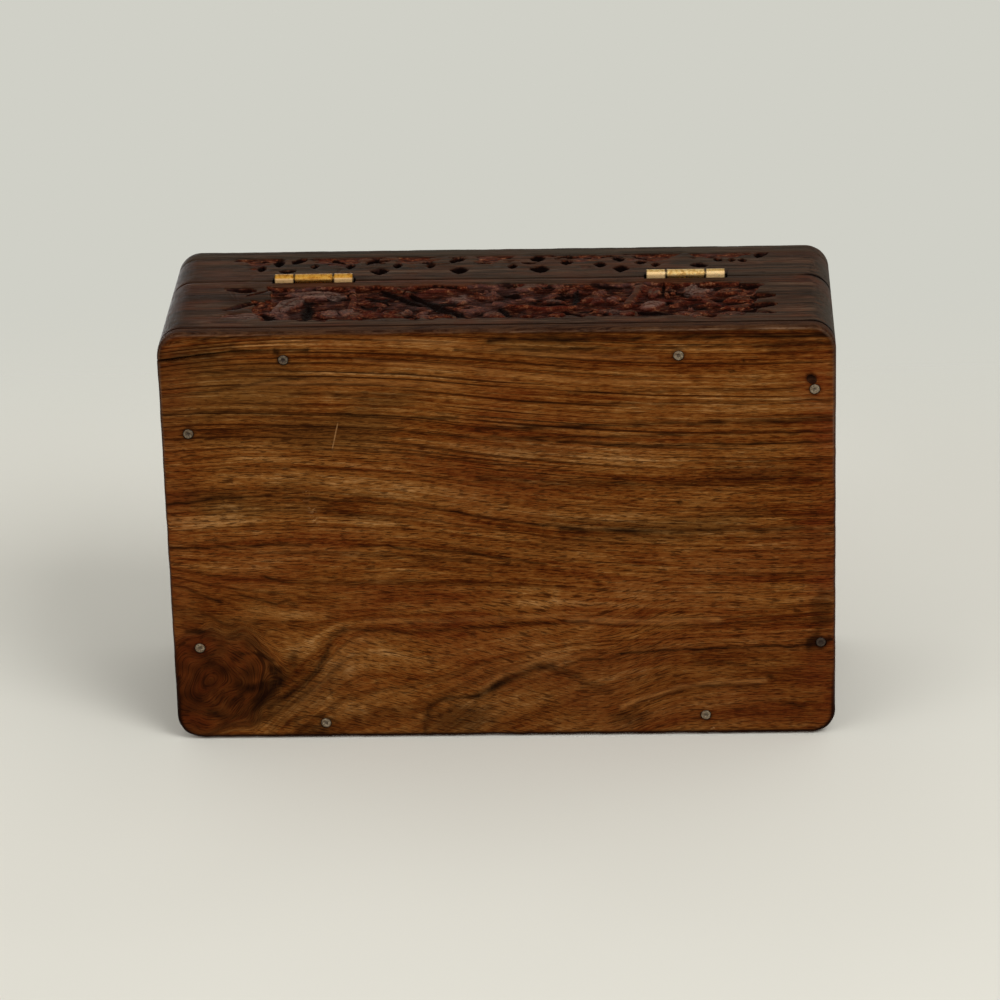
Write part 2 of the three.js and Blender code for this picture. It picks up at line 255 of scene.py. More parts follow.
def base_wood():
    """Sanded and oiled board: grain along the flow attribute, with stains, red ends and scratches, a darker
    rim with a painted contact shadow, and a painted highlight on its upper arris.
    """
    s = Shader(bpy.data.materials.new("base_wood"))
    place = s.place()
    flow = s.warped(s.attribute("flow", "Vector"), (0.035, 0.11, 0.11), (0.0, 0.7, 0.5))
    bands = s.noise(flow, 0.007, 0.13, 0.0)
    lines = s.noise(flow, 0.03, 0.62, 0.0, 5.0, 0.66)
    fine = s.noise(flow, 0.13, 2.1, 0.0, 3.0, 0.7)
    fibre = s.noise(flow, 0.3, 0.0, 3.2, 3.0, 0.65)
    cloud = s.noise(flow, 0.04, 0.0, 0.14, 4.0, 0.6)
    growth = s.noise(flow, 0.006, 0.72, 0.0, 3.0, 0.62)
    level = s.add("SeparateXYZ", {0: flow}, "Y")
    ringed = s.step(level, 34.0, 62.0, 0.85, 0.3)
    striped = s.plus(lines, s.times(s.minus(growth, lines), ringed))
    calm = s.attribute("calm")
    striped = s.plus(0.5, s.times(s.minus(striped, 0.5), calm))
    tone = s.weighed((striped, 0.34), (bands, 0.2), (fine, 0.13), (fibre, 0.21), (cloud, 0.14))
    colour = s.ramp(tone, [
        (0.42, 40, 10, 0), (0.46, 76, 31, 3), (0.50, 104, 56, 16), (0.545, 122, 76, 31),
        (0.60, 158, 112, 64),
    ])
    patches = s.noise(flow, 0.014, 0.035, 0.03)
    olive = s.step(patches, 0.52, 0.66, 0.0, 0.4)
    colour = s.mix(olive, colour, (70, 48, 18))
    rust = s.more(s.step(patches, 0.48, 0.36, 0.0, 0.35), s.attribute("red"))
    colour = s.mix(rust, colour, s.mix(0.7, colour, (94, 36, 11)))
    threads = s.noise(flow, 0.007, 0.95, 0.0, 2.0, 0.5)
    dark = s.times(s.step(threads, 0.56, 0.62), s.step(level, 34.0, 62.0, 0.8, 0.42))
    colour = s.mix(s.times(dark, calm), colour, (38, 11, 0))
    pores = s.noise(flow, 0.17, 0.0, 1.9, 2.0, 0.5)
    specks = s.noise(flow, 0.36, 0.0, 3.4, 2.0, 0.5)
    dashes = s.more(s.step(pores, 0.56, 0.64, 0.0, 0.75), s.step(specks, 0.555, 0.64, 0.0, 0.65))
    dashes = s.times(dashes, s.step(level, 26.0, 50.0, 0.65, 1.0))
    colour = s.mix(dashes, colour, (34, 9, 0))
    shaded = s.plus(s.step(calm, 0.85, 0.45, 0.0, 0.22), s.step(calm, 0.44, 0.24, 0.0, 0.26))
    colour = s.mix(shaded, colour, (58, 22, 4))
    light = s.times(s.attribute("light"), s.step(fine, 0.36, 0.6, 0.5, 1.0))
    colour = s.mix(light, colour, (152, 100, 50))
    edge = s.times(s.attribute("edge"), s.step(lines, 0.3, 0.6, 1.0, 0.86))
    colour = s.mix(edge, colour, s.mix(s.step(fine, 0.36, 0.62), (30, 15, 8), (62, 41, 28)))
    # Stains, with a darker rim and top face and a painted contact shadow along the edge on the floor
    stain_and_shade = s.times(s.attribute("stain_and_shade"), s.step(fine, 0.32, 0.52, 0.78, 1.0))
    colour = s.mix(stain_and_shade, colour, (18, 4, 0))
    # Painted highlight on the upper arris, over its wear
    wear_and_highlight = s.times(s.attribute("wear_and_highlight"), s.step(fibre, 0.3, 0.56, 0.2, 1.0))
    colour = s.mix(wear_and_highlight, colour, (128, 100, 78))
    away = s.add("VectorMath", {0: place, 1: SCRATCH_NORMAL}, "Value", operation="DOT_PRODUCT")
    away = s.math("ABSOLUTE", s.minus(away, SCRATCH_AWAY))
    scratch = s.times(s.attribute("scratch"), s.step(away, 0.26, 0.1))
    crumbs = s.step(s.noise(place, 1.1, 1.1, 1.1, 2.0), 0.5, 0.6)
    scuffs_and_reflection = s.more(scratch, s.times(s.attribute("pale"), crumbs))
    colour = s.mix(scuffs_and_reflection, colour, (176, 130, 82))
    height = s.plus(s.minus(s.times(lines, 0.6), dashes), s.times(fibre, 0.4))
    roughness = s.step(fine, 0.3, 0.7, 0.5, 0.64)
    return s.finish(colour, roughness, s.bump(height, 0.00010), Specular_IOR_Level=0.02)


def dark_wood(name, along):
    """Waxed wood of the walls and lid, with its carving reddened by how deep it was cut and darkened there
    by painted shade, painted shade in its stabs, gouges and joints, and a painted grey sheen on its raised
    forms, corners and rims.
    """
    s = Shader(bpy.data.materials.new(name))
    place = s.place()
    drawn_out = 0.016
    near = {"X": (drawn_out, 1.0, 1.0), "Y": (1.0, drawn_out, 1.0)}[along]
    slow = tuple(0.05 if f == drawn_out else 0.09 for f in near)
    reach = tuple(0.0 if f == drawn_out else 2.4 for f in near)
    grain = s.warped(place, slow, reach)

    def figure(fineness, detail, roughness=0.55):
        return s.noise(grain, *[f * fineness for f in near], detail, roughness)

    bands = figure(0.17, 2.0)
    lines = figure(0.75, 5.0, 0.66)
    fibre = figure(2.8, 3.0, 0.65)
    tone = s.weighed((lines, 0.5), (bands, 0.22), (fibre, 0.28))
    colour = s.ramp(tone, [(0.40, 20, 8, 3), (0.46, 43, 23, 12), (0.52, 63, 41, 28), (0.61, 94, 71, 55)])
    end = s.attribute("end")
    colour = s.mix(s.times(end, 0.72), colour, (50, 35, 26))
    streaks = figure(0.4, 3.0, 0.6)
    colour = s.mix(s.step(streaks, 0.53, 0.62, 0.0, 0.5), colour, (86, 46, 26))
    patches = s.noise(place, 0.05, 0.05, 0.07)
    colour = s.mix(s.step(patches, 0.45, 0.6, 0.0, 0.34), colour, (46, 40, 32))
    colour = s.mix(s.step(patches, 0.49, 0.37, 0.0, 0.42), colour, (72, 34, 18))
    # Painted sheen: a grey-green cast, a painted reflection of the pale surroundings
    colour = s.mix(s.attribute("grey_sheen"), colour, (58, 54, 46))
    threads = s.step(figure(1.1, 3.0, 0.6), 0.54, 0.64)
    colour = s.mix(s.times(threads, s.step(end, 0.2, 1.0, 0.6, 0.12)), colour, (24, 11, 5))
    cut = s.attribute("cut")
    mottle = s.noise(place, 0.42, 0.42, 0.7, 5.0, 0.78)
    fresh = s.ramp(mottle, [(0.40, 22, 2, 0), (0.48, 60, 15, 5), (0.55, 92, 40, 18), (0.63, 136, 90, 62)])
    zones = s.noise(place, 0.07, 0.07, 0.12, 2.0)
    fresh = s.mix(s.step(zones, 0.5, 0.62, 0.0, 0.75), fresh, s.mix(0.5, fresh, (92, 68, 64)))
    fresh = s.mix(s.step(zones, 0.46, 0.36, 0.0, 0.6), fresh, (66, 16, 10))
    colour = s.mix(s.step(cut, 0.06, 0.32), colour, s.mix(0.2, fresh, colour))
    # Painted shade: the deep cuts go near black, and the stabs, gouges and joints nearer still
    colour = s.mix(s.step(cut, 0.42, 0.95, 0.0, 0.9), colour, (20, 2, 0))
    colour = s.mix(s.attribute("stab"), colour, (8, 2, 1))
    # Painted sheen: raised forms turned pale grey-pink, as a highlight
    sheen_colour = s.mix(0.5, colour, s.mix(s.step(fibre, 0.35, 0.6), (74, 50, 44), (142, 114, 102)))
    colour = s.mix(s.attribute("pale"), colour, sheen_colour)
    colour = s.mix(s.attribute("inner"), colour, s.mix(0.5, colour, (104, 62, 32)))
    dashes = s.step(figure(2.1, 2.0), 0.58, 0.67, 0.0, 0.6)
    colour = s.mix(dashes, colour, (20, 8, 4))
    chips = s.noise(place, 0.9, 0.9, 0.9, 2.0)
    height = s.minus(s.plus(lines, s.times(fibre, 0.5)), dashes)
    height = s.plus(height, s.times(s.times(chips, cut), 5.0))
    roughness = s.step(lines, 0.35, 0.65, 0.4, 0.56)
    return s.finish(colour, roughness, s.bump(height, 0.00012), Specular_IOR_Level=0.012)


def brass_metal():
    """Stamped brass, drawn out along the barrels, tarnished where the attributes say so, with one hinge
    darkened as painted shade, painted shade at the knuckle gaps and a painted pale reflection under the
    outer knuckles.
    """
    s = Shader(bpy.data.materials.new("brass"))
    place = s.place()
    mottle = s.noise(place, 0.9, 1.1, 1.1, 4.0, 0.65)
    drawn = s.noise(place, 0.4, 9.0, 9.0, 3.0, 0.6)
    colour = s.ramp(s.weighed((mottle, 0.7), (drawn, 0.3)), [
        (0.36, 136, 94, 40), (0.46, 210, 170, 100), (0.56, 240, 210, 150), (0.68, 252, 236, 196),
    ])
    # Tarnish, deeper on one hinge as painted shade
    colour = s.mix(s.attribute("tarnish_and_shade"), colour, (232, 196, 118), "MULTIPLY")
    # Painted reflection: pale, less metallic undersides of the outer knuckles
    pale_reflection = s.attribute("pale_reflection")
    colour = s.mix(pale_reflection, colour, (252, 214, 160))
    # Painted shade next to the knuckle gaps
    colour = s.mix(s.attribute("dirt_and_shade"), colour, (34, 18, 6))
    s.put(s.surface.inputs["Metallic"], s.step(pale_reflection, 0.0, 1.0, 1.0, 0.4))
    roughness = s.step(mottle, 0.3, 0.65, 0.5, 0.26)
    return s.finish(colour, roughness, s.bump(s.plus(mottle, s.times(drawn, 0.5)), 0.00008))


def steel_metal():
    """Dull nail steel with rust spots."""
    s = Shader(bpy.data.materials.new("steel"))
    place = s.place()
    mottle = s.noise(place, 1.6, 1.6, 1.6, 4.0, 0.65)
    colour = s.ramp(mottle, [(0.36, 78, 62, 44), (0.48, 122, 106, 84), (0.64, 160, 144, 120)])
    rust = s.step(s.noise(place, 0.5, 0.5, 0.5), 0.5, 0.62, 0.0, 0.5)
    colour = s.mix(rust, colour, (96, 66, 40))
    # Darker by each nail's own soiling, and in the dimples and at the heads' edges
    colour = s.mix(s.attribute("dirt_and_shade"), colour, (40, 24, 14))
    roughness = s.step(mottle, 0.35, 0.65, 0.66, 0.46)
    return s.finish(colour, roughness, s.bump(mottle, 0.00015), Metallic=0.55)


# Meshes


def in_scene(name, data):
    thing = bpy.data.objects.new(name, data)
    bpy.context.scene.collection.objects.link(thing)
    return thing


def build(name, points, faces, material, smooth_angle=35.0):
    """An object from points in millimetres, closed and with its normals out."""
    mesh = bpy.data.meshes.new(name)
    mesh.from_pydata((np.asarray(points) * MM).tolist(), [], faces)
    work = bmesh.new()
    work.from_mesh(mesh)
    bmesh.ops.remove_doubles(work, verts=work.verts, dist=1e-7)
    bmesh.ops.recalc_face_normals(work, faces=work.faces)
    work.to_mesh(mesh)
    work.free()
    thing = in_scene(name, mesh)
    mesh.materials.append(material)
    mesh.shade_smooth()
    mesh.set_sharp_from_angle(angle=math.radians(smooth_angle))
    return thing


def apply_modifiers(thing):
    bpy.context.view_layer.update()
    graph = bpy.context.evaluated_depsgraph_get()
    final = bpy.data.meshes.new_from_object(thing.evaluated_get(graph))
    thing.modifiers.clear()
    thing.data = final


def carve_away(thing, cutters):
    """Takes the cutter objects out of a thing and deletes them."""
    for cutter in cutters:
        step = thing.modifiers.new("cut", "BOOLEAN")
        step.operation = "DIFFERENCE"
        step.solver = "MANIFOLD"
        step.object = cutter
        cutter.hide_render = True
    apply_modifiers(thing)
    for cutter in cutters:
        bpy.data.objects.remove(cutter)


def soften(thing, width, segments=2, angle=30.0):
    step = thing.modifiers.new("soften", "BEVEL")
    step.width = width * MM
    step.segments = segments
    step.limit_method = "ANGLE"
    step.angle_limit = math.radians(angle)
    apply_modifiers(thing)


def thin_out(thing, loose):
    """Thins the mesh where loose is true. The rest keeps the points that hold its shading."""
    group = thing.vertex_groups.new(name="loose")
    group.add(np.flatnonzero(loose).tolist(), 1.0, "REPLACE")
    step = thing.modifiers.new("thin", "DECIMATE")
    step.ratio = THINNED_TO
    step.vertex_group = group.name
    apply_modifiers(thing)
    thing.vertex_groups.clear()


def resharpen(thing, angle):
    thing.data.shade_smooth()
    thing.data.set_sharp_from_angle(angle=math.radians(angle))


def places_of(thing):
    values = np.empty(len(thing.data.vertices) * 3, np.float32)
    thing.data.vertices.foreach_get("co", values)
    return values.reshape(-1, 3).astype(float) / MM


def store(thing, name, values):
    """Keeps a number, or three, for each vertex under a name that the shaders read."""
    values = np.asarray(values, np.float32)
    kind, field = ("FLOAT_VECTOR", "vector") if values.ndim == 2 else ("FLOAT", "value")
    layer = thing.data.attributes.new(name, kind, "POINT")
    layer.data.foreach_set(field, values.ravel())


def stand_for(thing, node, body):
    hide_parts(node)
    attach(thing, body)


def spread(low, high, step):
    return np.linspace(low, high, max(2, int(round((high - low) / step)) + 1))


def prism(name, outline, stations, material):
    """A cutter or a bar: an outline of (y, z) points run along X from station to station."""
    count = len(outline)
    last = (len(stations) - 1) * count
    points = [(x, y, z) for x in stations for y, z in outline]
    faces = [tuple(range(count))[::-1], tuple(range(last, last + count))]
    for start in range(0, last, count):
        for i in range(count):
            j = (i + 1) % count
            faces.append((start + i, start + j, start + count + j, start + count + i))
    return build(name, points, faces, material)


def turned(name, profile, x, y, z, up, steps, material, roundness=None):
    """A form turned about Z from (radius, height) pairs that start and end on the axis."""
    points, faces, rings = [], [], []
    for radius, height in profile:
        ring = []
        for i in range(steps if radius > 0 else 1):
            angle = 2 * math.pi * i / steps
            reach = radius * (roundness(angle, radius) if roundness else 1)
            ring.append(len(points))
            points.append((x + reach * math.cos(angle), y + reach * math.sin(angle), z + up * height))
        rings.append(ring)
    for first, second in zip(rings, rings[1:]):
        for i in range(steps):
            a, b = first[i % len(first)], first[(i + 1) % len(first)]
            c, d = second[(i + 1) % len(second)], second[i % len(second)]
            face = list(dict.fromkeys((a, b, c, d)))
            if len(face) > 2:
                faces.append(tuple(face))
    return build(name, points, faces, material)


def block(name, low, high, material):
    (x0, y0, z0), (x1, y1, z1) = low, high
    outline = [(y0, z0), (y1, z0), (y1, z1), (y0, z1)]
    return prism(name, outline, (x0, x1), material)


# Carving


class Carving:
    """Depth of cut over a face. u runs along the face and z up it, and 0 is the uncut surface."""

    def __init__(self, u, z):
        flat_u, flat_z = np.meshgrid(u, z, indexing="ij")
        self.u = flat_u + 0.35 * ripple(flat_u, flat_z, 4.5, 3)
        self.z = flat_z + 0.35 * ripple(flat_u, flat_z, 4.5, 4)
        # Depth of cut, paleness that paints a sheen on the raised forms, and painted shade in the cuts
        self.depth, self.pale, self.stab = (np.zeros(self.u.shape) for _ in range(3))

    def dig(self, depth):
        self.depth = np.maximum(self.depth, depth)

    # Painted shade: how far each point is darkened towards black, as shade in the deep cuts
    def paint_recess_shade(self, share):
        self.stab = np.maximum(self.stab, share)

    # Paleness: a painted sheen on the raised leaves and petals, and one pale spot
    def lighten(self, share):
        self.pale = np.maximum(self.pale, share)

    def within(self, left, right, foot, top):
        """How far each point is inside a field."""
        past_ends = np.minimum(self.u - left, right - self.u)
        return np.minimum(past_ends, np.minimum(self.z - foot, top - self.z))

    def local(self, u, z, turn):
        """How far each point is along a direction from (u, z), and aside from it."""
        c, s = toward(turn)
        du, dz = self.u - u, self.z - z
        return du * c + dz * s, dz * c - du * s

    def ground(self, left, right, foot, top, depth, seed, ragged=0.9):
        """Cuts a ragged-edged field down and leaves its floor chiselled."""
        edge = ragged * ripple(self.u, self.z, 4.0, seed)
        inside = self.within(left, right, foot, top)
        floor = depth * (1 + 0.2 * ripple(self.u * 0.5, self.z, 2.6, seed + 1))
        floor += 0.2 * ripple(self.u * 0.25, self.z, 1.0, seed + 2)
        self.dig(floor * smooth(inside + edge, 0.0, 0.8))

    def stand(self, inside, level):
        """Leaves a form standing where inside is above 0, with its own depth of surface."""
        self.depth += smooth(inside, 0.0, 0.45) * (level - self.depth)

    def leaf(self, u, z, turn, length, width, level=0.0, bend=0.0, pale=0.0, veins=True):
        along, aside = self.local(u, z, turn)
        t = np.clip(along / length, 0, 1)
        aside = aside - bend * length * 4 * t * (1 - t)
        swell, taper = np.clip(2.3 * t, 0, 1), np.clip(1.6 * (1 - t), 0, 1)
        half = 0.5 * width * np.power(swell, 0.6) * np.power(taper, 0.75)
        inside = np.where((along > 0) & (along < length), half - np.abs(aside), -1.0)
        cup = 0.45 * np.clip(1 - inside / (0.3 * width), 0, 1) ** 1.5
        surface = level + cup + 0.4 * hump(aside, 0.32)
        if veins:
            wave = np.sin((along - 0.9 * np.abs(aside)) * 2 * math.pi / 1.7)
            surface = surface + 0.14 * np.clip(wave, 0, 1) * smooth(inside, 0.2, 0.8)
        self.stand(inside, surface)
        # Painted sheen on the leaf, less along its rib
        self.lighten(pale * smooth(inside, 0.1, 0.6) * (1 - 0.8 * hump(aside, 0.4)))

    def flower(self, u, z, radius, petals, turn=0.0, pale=0.0):
        """Petals round a raised eye."""
        du, dz = self.u - u, self.z - z
        reach = np.hypot(du, dz)
        swing = np.arctan2(dz, du) * petals / 2 + turn
        inside = radius * (0.74 + 0.26 * np.abs(np.cos(swing))) - reach
        surface = 0.1 + 0.55 * np.abs(np.sin(swing)) ** 6 * smooth(reach, 0.2 * radius, 0.5 * radius)
        surface = surface + 0.5 * hump(reach - 0.3 * radius, 0.45)
        surface = surface + 0.35 * (1 - smooth(inside, 0.0, 1.0))
        surface = surface - 0.05 * smooth(reach, 0.25 * radius, 0.0)
        self.stand(inside, np.maximum(surface, 0.0))
        # Painted sheen on the petals
        self.lighten(pale * smooth(inside, 0.1, 0.6))

    def tuft(self, u, z, reach, count, seed, pale=0.0):
        """Short leaves of uneven length around a point."""
        draw = np.random.default_rng(seed)
        for i in range(count):
            turn = draw.normal(180.0 * (i % 2), 38)
            length = reach * draw.uniform(0.7, 1.25)
            level = draw.uniform(0.0, 0.45)
            du, dz = toward(turn)
            # How much painted sheen this leaf takes
            shade = pale * draw.uniform(0.0, 1.0)
            width = reach * draw.uniform(0.42, 0.6)
            self.leaf(u + du, z + dz, turn, length, width, level, pale=shade, veins=False)

    def nicks(self, left, right, foot, top, count, seed):
        """Small chisel cuts strewn over a field, most of them along it."""
        draw = np.random.default_rng(seed)
        for _ in range(count):
            u, z = draw.uniform(left, right), draw.uniform(foot, top)
            turn = math.radians(draw.normal(0, 20))
            length = draw.uniform(2.0, 7.0)
            du, dz = length * math.cos(turn) / 2, length * math.sin(turn) / 2
            self.gouge(u - du, z - dz, u + du, z + dz, draw.uniform(0.8, 2.2), draw.uniform(0.8, 1.7))

    def paint_raised_sheen(self, left, right, foot, top, amount):
        """Paints a pale sheen on what stands in a field, a painted highlight on its raised forms."""
        inside = self.within(left, right, foot, top)
        self.lighten(amount * (smooth(inside, 0.9, 2.2) * (1 - smooth(self.depth, 0.3, 0.75))))

    def stem(self, line, width, level=0.15):
        inside = width / 2 - distance_to(self.u, self.z, line)
        self.stand(inside, level + 0.3 * (1 - smooth(inside, 0.0, width / 2)))

    def gouge(self, u0, z0, u1, z1, width, depth):
        """A V cut, broad in its middle and pointed at both ends."""
        length = math.hypot(u1 - u0, z1 - z0)
        along, aside = self.local(u0, z0, math.degrees(math.atan2(z1 - z0, u1 - u0)))
        t = np.clip(along / length, 0, 1)
        half = 0.5 * width * np.power(np.sin(math.pi * t), 0.6) + 1e-6
        share = np.clip(1 - np.abs(aside) / half, 0, 1) * ((along > 0) & (along < length))
        self.dig(depth * np.clip(1.15 * share, 0, 1))
        # Painted shade in the cut
        self.paint_recess_shade(0.92 * smooth(share, 0.0, 0.18))

    def notch(self, u, z, width, height, depth=1.7, lean=0.0):
        """A deep diamond stab."""
        dz = self.z - z
        du = self.u - u - lean * dz
        span = (np.abs(du) / (width / 2)) ** 1.35 + (np.abs(dz) / (height / 2)) ** 1.35
        self.dig(depth * np.clip(1.5 * (1 - span), 0, 1))
        # Painted shade in the stab
        self.paint_recess_shade(smooth(1 - span, 0.0, 0.14))

    def scoop(self, u, half, foot, seed):
        """A chip cut in from a straight upper edge that rises to the surface at a point below."""
        rise = np.clip((self.z - foot) / (CHIP_TOP - foot), 0, 1)
        inside = half * (0.45 + 0.55 * rise) * smooth(rise, 0.0, 0.3) - np.abs(self.u - u)
        inside = inside + 2.0 * ripple(self.u, self.z * 1.8, 4.0, seed)
        cut = 0.55 * (0.35 + 0.65 * rise) * smooth(inside, -0.4, 1.0)
        cut = cut * (1 + 0.35 * ripple(self.u * 0.4, self.z, 1.3, seed + 1))
        self.dig(cut * (1 - smooth(self.z, CHIP_TOP, CHIP_TOP + 0.25)))
        # Painted shade under the chip's upper edge
        self.paint_recess_shade(0.75 * smooth(cut, 0.1, 0.3) * hump(self.z - CHIP_TOP, 0.3))


# The heights that the carved fields keep to
FIELD_FOOT, FIELD_TOP = 10.2, 39.4
CHIP_TOP = 65.3


def band_pattern(c, first, count):
    """The lid's border: deep stabs in pairs between shallow chips that hang from the upper edge."""
    for number in range(count):
        u = first + 25.0 * number
        c.notch(u, 52.4, 4.3, 5.4)
        c.notch(u + 8.6, 56.2, 2.5, 4.0, 1.3)
        c.notch(u - 8.4, 57.4, 2.5, 4.2, 1.3)
        c.notch(u + 1.2, 61.8, 3.2, 4.6, 1.5, lean=-0.35)
        c.scoop(u + 12.4, 6.8, 57.2, 30 + number)


def lid_back(c):
    """The lid's back band, chip by chip."""
    for number, (u, half, foot) in enumerate([
        (76.0, 6.6, 57.5), (50.5, 8.4, 56.6), (27.0, 8.4, 58.0), (3.2, 6.6, 57.2),
        (-26.0, 5.6, 57.6), (-47.0, 7.6, 57.4), (-67.5, 9.4, 59.6),
    ]):
        c.scoop(u, half, foot, 30 + 3 * number)
    for u, z, width, height in [
        (37.4, 52.3, 4.6, 5.8), (12.7, 52.6, 4.0, 5.4), (66.0, 53.4, 3.6, 3.6), (-12.1, 52.6, 4.6, 6.2),
        (-37.1, 52.1, 3.8, 5.2), (-61.0, 54.2, 3.6, 4.0), (46.6, 57.2, 2.6, 4.4), (32.0, 57.6, 2.2, 4.4),
        (-3.6, 55.6, 2.8, 4.2), (-20.4, 58.4, 3.2, 3.8), (-30.7, 56.0, 3.2, 4.0), (-42.9, 57.6, 2.6, 3.6),
        (-47.9, 55.6, 2.2, 3.0), (74.0, 56.0, 2.2, 4.4), (-67.0, 59.0, 2.4, 3.0), (-71.5, 58.7, 1.8, 3.2),
        (-74.4, 58.3, 1.8, 3.2), (57.5, 57.2, 2.0, 3.4), (22.0, 57.0, 2.2, 3.4),
    ]:
        c.notch(u, z, 1.45 * width, 1.2 * height, 2.0)
    for u, z, width, height, lean in [
        (39.9, 61.6, 3.0, 4.6, -0.5), (13.8, 61.6, 3.4, 4.4, -0.4), (63.0, 62.4, 3.2, 5.0, -0.5),
        (69.0, 61.0, 2.2, 5.4, 0.1), (-11.4, 62.2, 3.8, 4.8, 0.0), (-36.4, 61.2, 3.2, 4.8, 0.2),
        (-80.5, 63.2, 2.6, 4.6, -0.5),
    ]:
        c.notch(u, z, 1.5 * width, 1.35 * height, 1.9, lean)
    c.nicks(-78.0, 80.0, 58.5, 64.5, 34, 13)
    c.gouge(80.5, 65.0, 70.0, 65.2, 0.9, 0.9)
    c.leaf(73.2, 56.2, 0, 4.4, 3.4, 0.1, veins=False)


